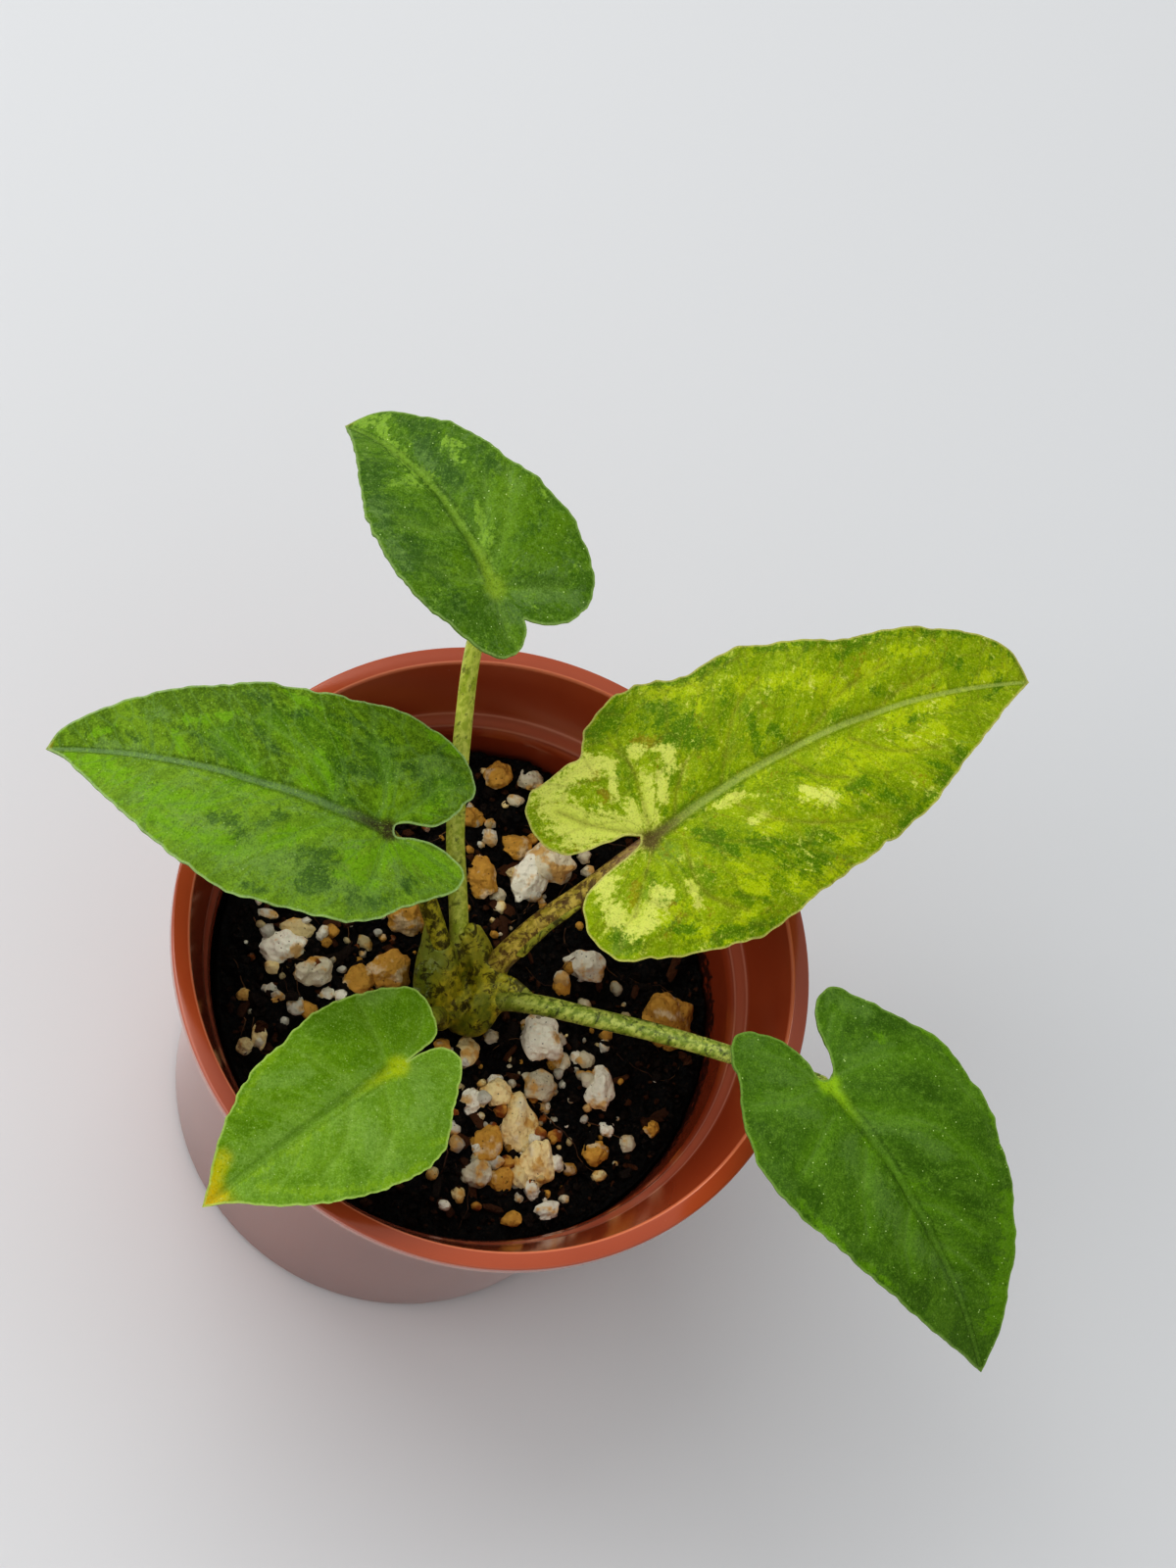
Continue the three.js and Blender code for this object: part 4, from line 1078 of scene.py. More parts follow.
def nearness(x, y, line, width):
    """1 on a line and falling softly to 0 at about twice the width away."""
    spots = smooth_line(line, 40)
    gap = np.sqrt((x[:, None] - spots[:, 0]) ** 2 + (y[:, None] - spots[:, 1]) ** 2).min(axis=1)
    return np.exp(-(gap / width) ** 2)


def brushed(x, y, strokes):
    """Soft brush strokes, each a width and the points that the brush goes through."""
    level = np.zeros_like(x)
    for width, *line in strokes:
        level = np.maximum(level, nearness(x, y, line, 1.5 * width))
    return level


print("a short line:", smooth_line([(0, 0), (1, 0), (2, 1)], 3).round(2).tolist())

# %% The blade's surface
BLADE_GRID = 0.45
BLADE_THICKNESS = 0.4
MARGIN_STEP = 0.35
RIB_STEP = 0.5
MARGIN_BEATS = 24
RIGHT_PHASE = 1.9


def midrib_offset(leaf, x):
    """How far the bowed midrib lies from the straight line to the tip."""
    length = leaf["length"]
    return np.where(x > 0, 4 * leaf["bow"] * x * (length - x) / length ** 2, 0.0)


def blade_height(leaf, x, y):
    """The measured model's arched surface."""
    along = x / leaf["length"]
    arched = np.where(x > 0, 4 * leaf["arch"] * along * (1 - along), 4 * leaf["arch"] * along)
    from_rib = y - midrib_offset(leaf, x)
    return arched + 0.3 * (np.hypot(from_rib, 1) - 1) - 0.02 * from_rib ** 2


def blade_turn(leaf):
    """The turn that sets a flat blade to its heading and slope."""
    turn = Matrix.Rotation(math.radians(leaf["heading"]), 3, "Z")
    return turn @ Matrix.Rotation(-math.radians(leaf["slope"]), 3, "Y")


def to_world(leaf, local):
    """From the blade's own plane to the pot's frame, in metres."""
    return (local @ np.array(blade_turn(leaf)).T + np.array(leaf["join"])) * MM


def keep(mesh, name, values):
    """Store a value at each point of the mesh, for the finish to read."""
    layer = mesh.attributes.new(name, "FLOAT", "POINT")
    layer.data.foreach_set("value", np.asarray(values, dtype=np.float32))


def recall(mesh, name):
    """Read such a value back."""
    values = np.empty(len(mesh.vertices), dtype=np.float32)
    mesh.attributes[name].data.foreach_get("value", values)
    return values


print("blade points lie", BLADE_GRID, "mm apart")

# %% Fill one blade with points


def blade_outline(leaf):
    """The margin from the notch round one lobe to the tip and back round the other, with small nicks."""
    dice = np.random.default_rng(int(leaf["heading"]) + 500)
    tip = (leaf["length"], 0.0)
    sides = []
    for side in ("left", "right"):
        line = smooth_line([*leaf[side], tip], 400)
        line = smooth_line([*leaf[side], tip], int(line_length(line) / MARGIN_STEP))
        walk = np.linspace(0, 1, len(line))
        out = sideways(line) * (1 if side == "left" else -1)
        beat = MARGIN_BEATS * walk
        phase = 0.0 if side == "left" else RIGHT_PHASE
        scallop = 0.10 * np.sin(4.3 * beat + phase) + 0.07 * np.sin(9.1 * beat + 2 * phase)
        nicks = np.interp(walk * 66, np.arange(67), dice.normal(0, 1, 67) ** 3)
        scallop += 0.06 * np.clip(nicks, -3.5, 1.5)
        swing = (0.3 + leaf["wave"]) * 1.2 * scallop * np.sin(np.pi * walk) ** 0.5
        sides.append((line + out * swing[:, None], walk))
    (left, left_walk), (right, right_walk) = sides
    outline = np.concatenate([left, right[-2:0:-1]])
    return outline, np.concatenate([left_walk, 3.0 - right_walk[-2:0:-1]])


def gaps_to(x, y, line):
    """The distance of each point from a line's nearest point, and that point's number."""
    gap = (x[:, None] - line[None, :, 0]) ** 2 + (y[:, None] - line[None, :, 1]) ** 2
    nearest = gap.argmin(axis=1)
    return np.sqrt(gap[np.arange(len(x)), nearest]), nearest


def inner_points(leaf, outline):
    """Rows along the midrib and veins, and an even field of points between them and the margin."""
    rib_x = np.arange(RIB_STEP, leaf["length"] - 0.8, RIB_STEP)
    lines = [np.stack([rib_x, midrib_offset(leaf, rib_x)], 1)]
    for vein in leaf["veins"]:
        count = int(line_length(smooth_line(vein, 60)) / RIB_STEP)
        lines.append(smooth_line(vein, max(4, count)))
    taken = np.zeros((0, 2))
    for line in lines:
        strip = np.concatenate([line + sideways(line) * shift for shift in (-0.5, -0.2, 0.0, 0.2, 0.5)])
        if len(taken):
            strip = strip[gaps_to(strip[:, 0], strip[:, 1], taken)[0] > 0.3]
        taken = np.concatenate([taken, strip])
    low, high = outline.min(axis=0), outline.max(axis=0)
    xs = np.arange(low[0], high[0], BLADE_GRID)
    ys = np.arange(low[1], high[1], BLADE_GRID * 0.866)
    field = np.array([(x + BLADE_GRID / 2 * (k % 2), y) for k, y in enumerate(ys) for x in xs])
    field = field[gaps_to(field[:, 0], field[:, 1], taken)[0] > 0.38]
    points = np.concatenate([taken, field])
    inside = np.zeros(len(points), dtype=bool)
    for (x1, y1), (x2, y2) in zip(outline, np.roll(outline, -1, axis=0)):
        crosses = (y1 > points[:, 1]) != (y2 > points[:, 1])
        inside ^= crosses & (points[:, 0] < (x2 - x1) * (points[:, 1] - y1) / ((y2 - y1) or 1e-9) + x1)
    return points[inside & (gaps_to(points[:, 0], points[:, 1], outline)[0] > 0.22)]


print("margin points of the left leaf:", len(blade_outline(LEAVES["left"])[0]))

# %% Grow the blades
# Each kind of patch: where its mask begins and is full, and how much it covers.
# The grey-green patches are a painted sheen.
PATCHES = {
    "grey": (0.2, 0.85, 0.75), "deep": (0.25, 0.75, 0.8), "lime": (0.34, 0.74, 0.9),
    "dark": (0.24, 0.9, 0.9), "cream": (0.22, 0.66, 0.85), "yellow": (0.15, 0.95, 0.9),
}


RIB_DEPTH = 0.36
FOLD_DEPTH = 0.34
VEIN_DEPTH = 0.08
MARGIN_VEIN_DEPTH = 0.05


def grow_blade(place, leaf):
    """The upper face of a blade, with the values that its colours need."""
    outline, margin_walk = blade_outline(leaf)
    points = np.concatenate([outline, inner_points(leaf, outline)])
    loop = [(k, (k + 1) % len(outline)) for k in range(len(outline))]
    corners, _, faces, *_ = delaunay_2d_cdt([Vector(p) for p in points], loop, [], 1, 1e-5)
    flat = np.array([c[:] for c in corners])
    x, y = flat[:, 0], flat[:, 1]
    edge_gap, nearest = gaps_to(x, y, outline)
    walk = margin_walk[nearest]
    left_side = walk <= 1.0
    walk = np.where(left_side, walk, 3.0 - walk)
    ends = np.sin(np.pi * walk)
    beat = MARGIN_BEATS * walk
    out = np.exp(-edge_gap / 3.0)
    phase = np.where(left_side, 0.0, RIGHT_PHASE)
    ripple = np.sin(2.1 * beat + 1.7 * ~left_side) + 0.35 * np.sin(5.3 * beat + phase) * out
    height = blade_height(leaf, x, y) + leaf["wave"] * ends * out * ripple
    from_rib = np.abs(y - midrib_offset(leaf, x))
    along = np.clip(x / leaf["length"], 0, 1)
    groove = np.exp(-(from_rib / 0.55) ** 2) * np.clip((x + 0.4) / 0.8, 0, 1) * (1 - 0.7 * along)
    veins = np.zeros_like(x)
    valleys = np.zeros_like(x)
    for line in leaf["veins"]:
        veins = np.maximum(veins, nearness(x, y, line, 0.24))
        valleys = np.maximum(valleys, nearness(x, y, line, 1.2))
    edge_vein = np.exp(-((edge_gap - 1.3) / 0.25) ** 2) * ends
    dents = RIB_DEPTH * groove + FOLD_DEPTH * valleys * (1 - 0.6 * out)
    height -= dents + VEIN_DEPTH * veins + MARGIN_VEIN_DEPTH * edge_vein
    mesh = bpy.data.meshes.new(f"blade_{place}")
    mesh.from_pydata(to_world(leaf, np.stack([x, y, height], 1)).tolist(), [], faces)
    if sum(p.normal.z for p in mesh.polygons) < 0:
        mesh.flip_normals()
    blade = bpy.data.objects.new(f"blade_{place}", mesh)
    scene.collection.objects.link(blade)
    rib_width = np.maximum(0.7 * (1 - 0.6 * along), 0.2)
    keep(mesh, "vein", np.maximum(veins, 0.4 * edge_vein))
    keep(mesh, "valley", valleys * (1 - 0.6 * out))
    keep(mesh, "rib", np.exp(-(from_rib / rib_width) ** 2) * np.clip((x + 0.6) / 0.6, 0, 1))
    keep(mesh, "edge", np.clip(1 - edge_gap / 0.8, 0, 1))
    keep(mesh, "along", x / leaf["length"])
    foot = np.exp(-(from_rib / 1.0) ** 2) * np.clip(1 - x / 9.0, 0, 1) * (x > 0)
    keep(mesh, "joint", np.maximum(0.9 * foot, np.exp(-(np.hypot(x, y) / 1.5) ** 2)))
    for name in PATCHES:
        keep(mesh, name, brushed(x, y, leaf.get(name, ())))
    lean = x - 0.7 * np.abs(y)
    fan = -7.0 * (np.arctan2(np.abs(y), x) - math.atan2(1.0, 0.7))
    flow = mesh.attributes.new("flow", "FLOAT_VECTOR", "POINT")
    lay = np.stack([np.where(lean > 0, lean, fan), np.abs(y), 3.0 * np.sign(y)], 1) * MM
    flow.data.foreach_set("vector", lay.astype(np.float32).ravel())
    return blade


def thicken_blade(blade, leaf):
    """Give the blade its body and the raised ribs below."""
    upper = len(blade.data.vertices)
    apply_modifier(blade, "SOLIDIFY", thickness=BLADE_THICKNESS * MM, offset=-1.0)
    mesh = blade.data
    below = np.arange(len(mesh.vertices)) >= upper
    keep(mesh, "under", below)
    along = np.clip(recall(mesh, "along"), 0, 1)
    ridge = recall(mesh, "rib") * (0.8 - 0.65 * along) * np.clip(along / 0.04, 0, 1)
    ridge = np.maximum(ridge, 0.25 * recall(mesh, "vein")) * (1 - recall(mesh, "edge")) ** 2
    down = blade_turn(leaf) @ Vector((0, 0, -1))
    corners = np.empty(len(mesh.vertices) * 3)
    mesh.vertices.foreach_get("co", corners)
    corners = corners.reshape(-1, 3)
    corners[below] += (ridge[below, None] * MM) * np.array(down)
    mesh.vertices.foreach_set("co", corners.ravel())
    mesh.update()
    smooth(blade, 60)


blades = {}
for place, leaf in LEAVES.items():
    blades[place] = grow_blade(place, leaf)
    thicken_blade(blades[place], leaf)
    print(place, "blade:", len(blades[place].data.vertices), "points")

# %% [markdown]
# ## Leaf colour
# A young blade isn't one green. Blotches of several greens, and cream on the variegated leaf, lie over
# each other with ragged edges that run with the side veins. Grey-green patches among them are a painted
# sheen, and on two leaves one half of the blade is painted lighter as a sheen too. The folds over those
# veins are lighter, the midrib has a tone of its own with a dark line of painted shade on each side, the
# margin has a thin pale line, and fine grit and tiny pale pores dot the surface. One recipe mixes all five
# leaves from their own list of colours.

# %% The leaf recipe


def make_leaf(
    place, tones, ragged=1.0, contrast=1.0, veins=0.35, netted=0.2, specks=0.5, gloss=0.47, grainy=0.4,
    painted_sheen_half=0.0, rib_most=0.45, tip_from=0.975,
):
    """A leaf's finish from its colours and from how strongly each layer shows."""
    tones = {name: paint(*tone) for name, tone in tones.items()}
    leaf = Finish(f"leaf {place}", {"Roughness": gloss, "IOR": 1.4, "Specular IOR Level": gloss - 0.28})
    leaf.shader.inputs["Subsurface Weight"].default_value = 0.06
    leaf.shader.inputs["Subsurface Scale"].default_value = 0.0005
    leaf.shader.inputs["Subsurface Radius"].default_value = (0.4, 1.0, 0.1)
    flow = leaf.field("flow", "Vector")
    fleck = leaf.grain(0.8, 6.0, 0.72)
    fine = leaf.grain(0.22, 3.0, 0.6)
    grit = leaf.grain(0.75, 3.0, 0.7)
    pore = leaf.cells(0.3)
    net = leaf.cells(2.4, source=leaf.stretched((0.8, 0.5, 1.0), source=flow), kind="DISTANCE_TO_EDGE")
    streak = leaf.grain(1.6, 5.0, 0.6, leaf.stretched((0.6, 0.25, 1.0), source=flow), 0.5)
    shade = leaf.over(tones["base"], tones["fresh"], leaf.step(leaf.ragged(streak, (fleck, 0.9)), 0.38, 0.66))
    # One half of the blade, on one side of the midrib, is painted lighter: a painted sheen.
    if painted_sheen_half:
        side = leaf.axes(flow)[2]
        shade = leaf.over(shade, tones["light"], leaf.step(side, -0.002, 0.002, painted_sheen_half))
    for index, (kind, (low, high, most)) in enumerate(PATCHES.items()):
        if kind not in LEAVES[place]:
            continue
        wild = 0.15 * ragged if kind == "yellow" else ragged
        swirl = (2.2 if kind == "cream" else 3.0) * wild
        lay = leaf.stretched((0.7, 0.35, 1.0), source=flow, shift=index + 1.0)
        marbled = leaf.grain(1.5, 6.0, 0.66, lay, 0.8)
        crumbled = leaf.grain(0.6, 4.0, 0.72, leaf.stretched((1.0, 1.0, 1.0), shift=3.0 * index))
        level = leaf.calc("MULTIPLY", leaf.field(kind), 0.82)
        level = leaf.ragged(level, (marbled, swirl), (crumbled, 2.1 * wild))
        shade = leaf.over(shade, tones[kind], leaf.step(level, low, high, most * contrast))
    shade = leaf.layered(
        shade,
        (tones["lime"], leaf.calc("MULTIPLY", leaf.field("valley"), 0.7 * veins)),
        (tones["vein"], leaf.step(net, 0.07, 0.0, netted)),
        (tones["vein"], leaf.calc("MULTIPLY", leaf.field("vein"), veins)),
        # A dark line of painted shade on each side of the midrib, for its groove.
        (tones["shadow"], leaf.step(leaf.field("rib"), 0.08, 0.3, 0.35)),
        (tones["rib"], leaf.step(leaf.field("rib"), 0.3, 0.85, rib_most)),
        (tones["joint"], leaf.step(leaf.field("joint"), 0.15, 0.85, 0.9)),
        (tones["tip"], leaf.step(leaf.field("along"), tip_from, 1.0, 0.9)),
        (tones["edge"], leaf.step(leaf.field("edge"), 0.55, 0.85, 0.75)),
        (tones["shadow"], leaf.step(grit, 0.47, 0.34, 0.5 * grainy)),
        (tones["light"], leaf.step(grit, 0.53, 0.72, grainy)),
        (tones["shadow"], leaf.step(fine, 0.5, 0.72, 0.4)),
        (tones["light"], leaf.step(fine, 0.48, 0.28, 0.4)),
        (tones["light"], leaf.step(pore, 0.2, 0.05, 0.3)),
        (paint(196, 214, 150), leaf.step(leaf.cells(1.0), 0.10, 0.05, specks)),
        (tones["under"], leaf.calc("MULTIPLY", leaf.field("under"), 0.85)),
    )
    leaf.relief(pore, 0.03)
    leaf.relief(fleck, 0.06)
    leaf.relief(streak, 0.08)
    rough = leaf.calc("ADD", leaf.step(fleck, 0.2, 0.8, 0.14), gloss - 0.06)
    return leaf.finish(shade, rough)


print("leaf recipe ready")

# %% Mix the tones
# The grey-green patch tone is a painted sheen, and so is the light tone where it lightens one half of a
# blade.
green_tones = {
    "base": (76, 110, 24), "fresh": (98, 132, 30), "deep": (102, 136, 8), "grey": (104, 130, 80),
    "lime": (146, 178, 68), "dark": (60, 92, 34), "cream": (214, 216, 96), "yellow": (214, 196, 14),
    "vein": (118, 148, 64), "rib": (132, 164, 58), "joint": (138, 164, 50), "tip": (180, 150, 40),
    "edge": (140, 164, 96), "shadow": (42, 68, 10), "light": (138, 166, 90), "under": (124, 146, 86),
}
left_tones = dict(
    green_tones, base=(86, 114, 14), fresh=(118, 148, 30), deep=(68, 108, 2), grey=(122, 150, 84),
    lime=(120, 164, 16), dark=(54, 86, 38), rib=(116, 142, 92), joint=(64, 52, 28), edge=(160, 182, 128),
    vein=(112, 142, 70), light=(146, 180, 66),
)
bright_tones = dict(
    green_tones, base=(128, 150, 2), fresh=(148, 168, 8), grey=(122, 148, 60), lime=(172, 188, 14),
    dark=(86, 122, 2), cream=(214, 218, 118), vein=(112, 106, 44), rib=(158, 172, 92), deep=(144, 128, 26),
    joint=(100, 80, 52), tip=(104, 120, 34), edge=(188, 182, 116), shadow=(84, 104, 2),
    light=(196, 208, 92), under=(160, 172, 78),
)
dark_tones = dict(
    green_tones, base=(72, 106, 18), fresh=(88, 122, 28), grey=(106, 136, 68), lime=(108, 150, 4),
    dark=(54, 86, 6), vein=(102, 132, 60), rib=(112, 148, 54), joint=(150, 184, 30), tip=(104, 122, 54),
    edge=(128, 156, 78), light=(128, 160, 66), shadow=(42, 70, 8), deep=(72, 112, 6),
)
fresh_tones = dict(
    green_tones, base=(98, 134, 6), fresh=(110, 146, 18), grey=(130, 160, 80), lime=(134, 166, 28),
    dark=(88, 124, 2), vein=(134, 164, 80), rib=(124, 158, 56), joint=(170, 186, 20), tip=(206, 168, 10),
    edge=(172, 194, 110), light=(156, 184, 100), deep=(100, 140, 4), shadow=(72, 106, 2),
)
print("tones of a leaf:", sorted(green_tones))

# %% Colour the leaves
LEAF_FINISHES = {
    "back": make_leaf("back", green_tones, contrast=0.8, veins=0.3, specks=0.9),
    "left": make_leaf(
        "left", left_tones, 0.9, 0.75, veins=0.55, netted=0.45, specks=0.4, painted_sheen_half=0.28, rib_most=0.8,
    ),
    "right": make_leaf(
        "right", bright_tones, veins=0.5, netted=0.22, specks=0.0, gloss=0.42, grainy=0.32, rib_most=0.8,
    ),
    "front_right": make_leaf("front_right", dark_tones, 0.8, 0.65, veins=0.6, netted=0.12, specks=0.9),
    "front_left": make_leaf(
        "front_left", fresh_tones, 0.8, 0.7, veins=0.35, netted=0.15, specks=0.5, painted_sheen_half=0.12, tip_from=0.83,
    ),
}
for place, blade in blades.items():
    coat(blade, LEAF_FINISHES[place])
    hand_in(blade, "leaf_variegated" if place == "right" else "leaf_green", f"leaf_{place}")

# %% [markdown]
# ## Stalks
# A stalk is a round, slightly tapering rod that bends out of the crown and meets its blade in the notch.
# A curve with a thickness at each point is the natural tool. The last points run into the blade, where
# the stalk turns into the midrib below.

# %% Grow the stalks
STALK_POINTS = 60
# The points that a stalk goes through, and its radius at the crown and at the blade.
STALKS = {
    "back": (
        [(-3, 0.2, 48), (-4, 1.9, 57), (-5.7, 6.8, 63.5), (-7.3, 11.5, 69), (-9, 20.6, 80),
         (-10.5, 25.7, 92)],
        1.3, 0.95,
    ),
    "left": (
        [(-4.4, -2.6, 48), (-6.2, 0.2, 57.5), (-8.8, 3.2, 63), (-12.4, 5.2, 70.5), (-16, 5.4, 77.5)],
        1.35, 1.0,
    ),
    "right": (
        [(0.2, -2, 48), (1.2, -0.2, 55.5), (4.5, 2.6, 63), (8.9, 5.1, 70.5), (12, 7.1, 75.8)],
        1.7, 1.15,
    ),
    "front_right": (
        [(-0.2, -5.6, 49), (1.8, -4.4, 53.5), (5.8, -5.8, 58), (11.2, -8.1, 62), (19.5, -11.5, 67.5),
         (26.5, -14.4, 71), (33, -16.8, 73)],
        1.35, 1.0,
    ),
    "front_left": ([(-4.4, -5.8, 49), (-6, -7, 54.5), (-9.3, -11.2, 61.5), (-12, -15.8, 66)], 1.15, 0.85),
}
stalks = {}
for place, (points, base_radius, top_radius) in STALKS.items():
    leaf = LEAVES[place]
    under = to_world(leaf, np.array([[0.2, 0.0, -0.75 - top_radius * 0.8]]))[0] / MM
    inside = to_world(leaf, np.array([[1.6, 0.0, -0.45 - top_radius * 0.6]]))[0] / MM
    line = smooth_line([*points, under, inside], STALK_POINTS)
    walk = np.linspace(0, 1, STALK_POINTS)
    radii = base_radius + (top_radius - base_radius) * walk
    radii = radii * np.where(walk > 0.97, 0.75, 1.0)
    stalks[place] = thread_piece(f"stem_{place}", [(line, radii)], 6)
    print(place, "stalk:", round(line_length(line), 1), "mm long")

# %% [markdown]
# ### Mottled stalk skin
# The skin is pale green to olive, and more olive towards the crown. Its mottles, flecks and rings are drawn
# out along the stalk or across it, so their noise is turned to the stalk's main direction and stretched.
# The large leaf's stalk turns brown near its blade.

# %% Finish the stalks
TISSUE_GLOW = (0.6, 1.0, 0.2)
# Heights in metres where the crown's olive and the brown near the blade begin and are full.
OLIVE_HEIGHT = (0.061, 0.053)
BROWN_HEIGHT = (0.072, 0.079)


def make_stalk(name, direction, pale, olive, fleck_tone, amount, top_tone=None):
    """A stalk's finish: two skin tones, and flecks that cover more as the amount rises."""
    skin = Finish(name, {"Roughness": 0.4, "IOR": 1.45, "Subsurface Weight": 0.1, "Subsurface Scale": 0.001})
    skin.shader.inputs["Subsurface Radius"].default_value = TISSUE_GLOW
    turned = tuple(Vector(direction).to_track_quat("Z", "Y").inverted().to_euler())
    lengthwise = skin.stretched((1.0, 1.0, 0.3), turned)
    streak = skin.grain(0.7, 4.0, 0.65, lengthwise)
    mottle = skin.grain(1.1, 6.0, 0.74, skin.stretched((1.0, 1.0, 0.5), turned), 0.6)
    fleck = skin.grain(0.5, 3.0, 0.6, lengthwise)
    ring = skin.grain(2.6, 3.0, 0.6, skin.stretched((0.5, 0.5, 1.6), turned))
    height = skin.axes()[2]
    fleck_paint = paint(*fleck_tone)
    shade = skin.layered(
        paint(*pale),
        (paint(*olive), skin.step(streak, 0.38, 0.62)),
        (fleck_paint, skin.step(ring, 0.6, 0.68, 0.35)),
        (paint(116, 116, 34), skin.step(height, *OLIVE_HEIGHT, 0.7)),
        (fleck_paint, skin.step(mottle, 0.58 - amount, 0.67 - amount, 0.8)),
        (fleck_paint, skin.step(fleck, 0.64 - 0.5 * amount, 0.72 - 0.5 * amount, 0.7)),
    )
    if top_tone:
        shade = skin.over(shade, paint(*top_tone), skin.step(height, *BROWN_HEIGHT, 0.6))
    skin.relief(streak, 0.08)
    skin.relief(skin.grain(0.3, 3.0), 0.03)
    return skin.finish(shade, skin.calc("ADD", skin.step(streak, 0.2, 0.8, 0.12), 0.34))


# Pale tone, olive tone, fleck tone and amount of flecks, and a tone near the blade where it has one.
STALK_SKINS = {
    "back": ((212, 218, 110), (172, 186, 66), (116, 124, 48), 0.03),
    "left": ((190, 182, 58), (146, 142, 38), (42, 34, 12), 0.12),
    "right": ((216, 194, 100), (172, 154, 60), (92, 62, 38), 0.11, (150, 118, 98)),
    "front_right": ((186, 194, 100), (124, 142, 46), (58, 70, 24), 0.06),
    "front_left": ((176, 182, 76), (138, 146, 50), (80, 70, 32), 0.06),
}
for place, stem in stalks.items():
    points = STALKS[place][0]
    direction = Vector(points[-1]) - Vector(points[1])
    coat(stem, make_stalk(f"stalk {place}", direction, *STALK_SKINS[place]))
    hand_in(stem, "stalk_tissue", f"stalk_{place}")

# %% [markdown]
# ## The crown
# The crown is the short swollen base that all stalks wrap round: each stalk's foot is a sheath that
# clasps the next one. Three folds are the stub of an old leaf, three wings the open sheath of the front
# right stalk, two flanks the swollen left side, and a seam runs up the right stalk. These simple
# bodies are laid into each other, melted together by a voxel remesh and smoothed, which gives the soft
# creases of living tissue that separate parts never have.

# %% Lay the crown's body and sheaths
CROWN_RINGS = [[2.0, 33.5], [2.3, 40], [2.7, 44.0], [3.5, 47.5], [3.7, 50], [2.2, 52]]
CROWN_SIDES = 32
CROWN_MIDDLE = (-3.2, -2.2)
# How much thicker than its stalk each sheath gets, and how far it reaches.
SHEATHS = {
    "back": (2.0, 13.5), "left": (2.3, 15.0), "right": (1.7, 12.5), "front_right": (1.2, 11.5),
    "front_left": (0.6, 9.0),
}
body = raise_wall("crown_flesh", CROWN_RINGS, CROWN_SIDES, CROWN_MIDDLE)
lumps = [body]


def swelling(count, stops, sizes):
    """Sizes along a line of so many points, from those at a few stops between 0 and 1."""
    return np.interp(np.linspace(0, 1, count), stops, sizes)


def lay_lump(name, line, radii, roundness=4):
    """A soft round ridge, to be melted into the crown."""
    lumps.append(thread_piece(name, [(line, radii)], roundness))


for place, (points, base_radius, _) in STALKS.items():
    foot_x, foot_y, _ = points[0]
    root = (0.3 * foot_x - 2.2, 0.3 * foot_y - 1.2, 45.0)
    line = smooth_line([root, *points[:4]], 90)
    extra, reach = SHEATHS[place]
    count = int(np.searchsorted(walked_along(line), reach))
    radii = base_radius - 0.03 + extra * swelling(count, (0, 0.25, 0.5, 1), (0.1, 0.85, 0.6, 0))
    lay_lump(f"sheath_{place}", line[:count], radii, 5)
print("crown sheaths:", len(SHEATHS))

# %% Add the folds, wings, flanks and seam
FOLD_POINTS = 14
FLANK_POINTS = 20
FOLDS = (("near", (0.0, 0.0, 0.0), 0.8), ("far", (1.0, 0.35, -0.9), 0.6), ("side", (-0.7, -0.7, -0.9), 0.55))
for name, shift, size in FOLDS:
    fold = smooth_line([(0.5, -1.6, 51), (-0.7, 0.7, 56.2), (-3.4, 2.6, 60.6)], FOLD_POINTS)
    lay_lump(f"fold_{name}", fold + np.array(shift), size * (1.7 - 0.7 * np.linspace(0, 1, FOLD_POINTS)))
for name, lift, size in (("low", 0.0, 1.0), ("high", 1.0, 0.7), ("top", 1.9, 0.45)):
    foot, middle = (-0.5, -4.6 + lift, 51.0 + lift), (2.2, -3.9 + lift, 54.2 + lift)
    wing = smooth_line([foot, middle, (6.6, -5.9, 58.2)], FOLD_POINTS)
    lay_lump(f"wing_{name}", wing, size * (1.5 - 0.9 * np.linspace(0, 1, FOLD_POINTS)))
for name, shift, size in (("near", (0.0, 0.0, 0.0), 1.0), ("far", (-0.5, 1.0, 0.2), 0.8)):
    knots = [(-4.0, -4.8, 44.5), (-6.6, -2.9, 51.5), (-7.6, 0.0, 57), (-8.3, 2.4, 62)]
    flank = smooth_line(knots, FLANK_POINTS) + np.array(shift)
    lay_lump(f"flank_{name}", flank, size * swelling(FLANK_POINTS, (0, 0.35, 1), (1.3, 1.9, 0.4)))
seam = smooth_line(STALKS["right"][0][1:5], 40)[6:26] + np.array((0.45, -0.95, 0.75))
lay_lump("seam", seam, swelling(len(seam), (0, 0.8, 1), (0.75, 0.55, 0.35)))
print("crown lumps:", len(lumps))

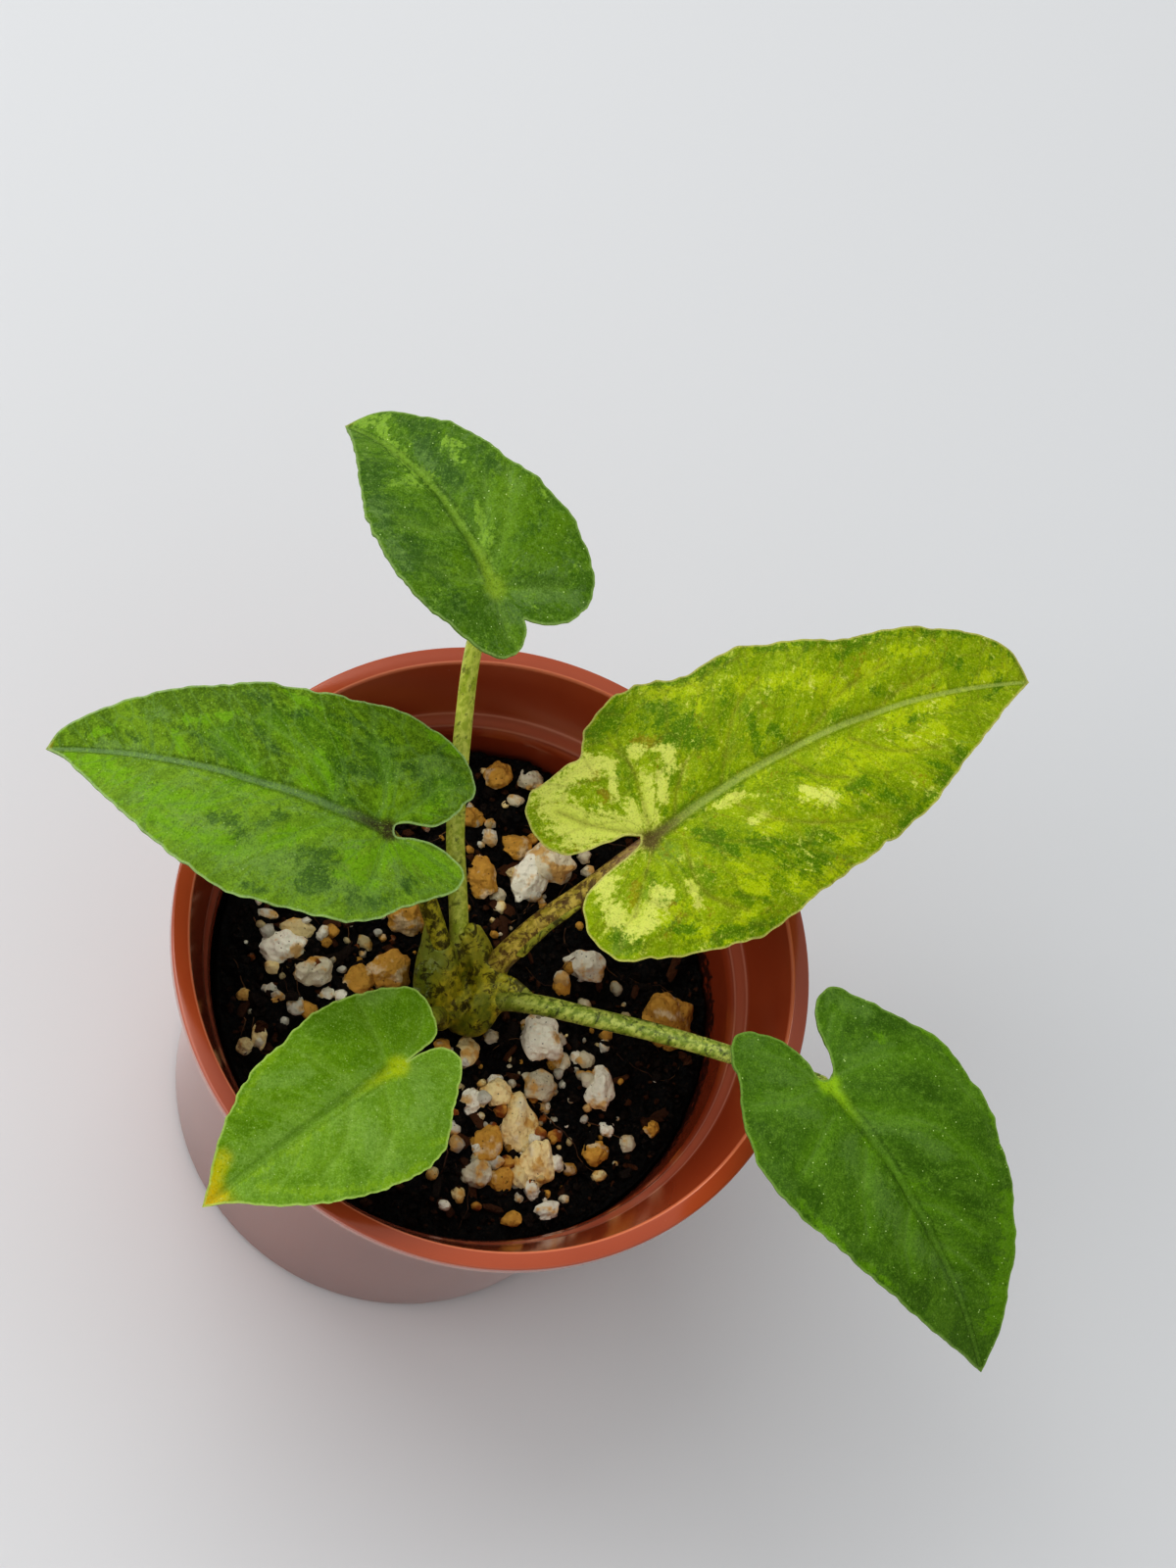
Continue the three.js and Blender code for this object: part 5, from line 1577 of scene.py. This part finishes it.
# %% Melt the crown together
VOXEL = 0.2
RIDGE_DEPTH = 0.10
clear_selection()
for lump in lumps:
    lump.select_set(True)
bpy.context.view_layer.objects.active = body
bpy.ops.object.join()
crown = bpy.context.object
apply_modifier(crown, "REMESH", mode="VOXEL", voxel_size=VOXEL * MM)
apply_modifier(crown, "SMOOTH", factor=0.6, iterations=3)
for vertex in crown.data.vertices:
    spot = vertex.co / MM
    ridge = RIDGE_DEPTH * noise.noise(Vector((spot.x * 0.9, spot.y * 0.9, spot.z * 0.25)))
    vertex.co += vertex.normal * ridge * MM
smooth(crown)
print("crown:", len(crown.data.polygons), "faces")

# %% [markdown]
# ### Olive crown skin
# The crown is olive with green clouds and dark mottles. Its left side is green with pale streaks of
# painted sheen, the folds at its top are paler, and its foot is stained brown by the mix. Masks by place do
# that on one mesh.

# %% Finish the crown
# Where each mask begins and is full, in metres: two along X on the left side, and two heights.
GREEN_SIDE = (-0.0050, -0.0075)
SHEEN_SIDE = (-0.0058, -0.0070)
FOLD_HEIGHT = (0.0535, 0.0585)
STAIN_HEIGHT = (0.0490, 0.0450)
flesh = Finish(
    "crown flesh", {"Roughness": 0.5, "IOR": 1.45, "Subsurface Weight": 0.08, "Subsurface Scale": 0.001},
)
flesh.shader.inputs["Subsurface Radius"].default_value = TISSUE_GLOW
across, _, level = flesh.axes()
streak = flesh.grain(0.8, 4.0, 0.65, flesh.stretched((1.0, 1.0, 0.3)))
mottle = flesh.grain(1.3, 6.0, 0.74, flesh.stretched((1.0, 1.0, 0.6)), 0.7)
cloud = flesh.grain(5.0, 2.0)
# Pale streaks on the left side are a painted sheen.
painted_flank_sheen = flesh.calc("MULTIPLY", flesh.step(across, *SHEEN_SIDE), flesh.step(streak, 0.53, 0.64, 0.6))
shade = flesh.layered(
    paint(198, 186, 54),
    (paint(146, 144, 34), flesh.step(streak, 0.36, 0.64)),
    (paint(92, 112, 30), flesh.step(cloud, 0.5, 0.6, 0.6)),
    (paint(80, 108, 34), flesh.step(across, *GREEN_SIDE, 0.7)),
    (paint(176, 190, 138), painted_flank_sheen),
    (paint(176, 180, 84), flesh.step(level, *FOLD_HEIGHT, 0.4)),
    (paint(46, 38, 12), flesh.step(mottle, 0.5, 0.58, 0.8)),
    (paint(92, 70, 26), flesh.step(level, *STAIN_HEIGHT, 0.75)),
)
flesh.relief(streak, 0.15)
flesh.relief(flesh.grain(0.35, 3.0), 0.04)
coat(crown, flesh.finish(shade, flesh.calc("ADD", flesh.step(streak, 0.2, 0.8, 0.15), 0.38)))
hand_in(crown, "crown_tissue", "crown")
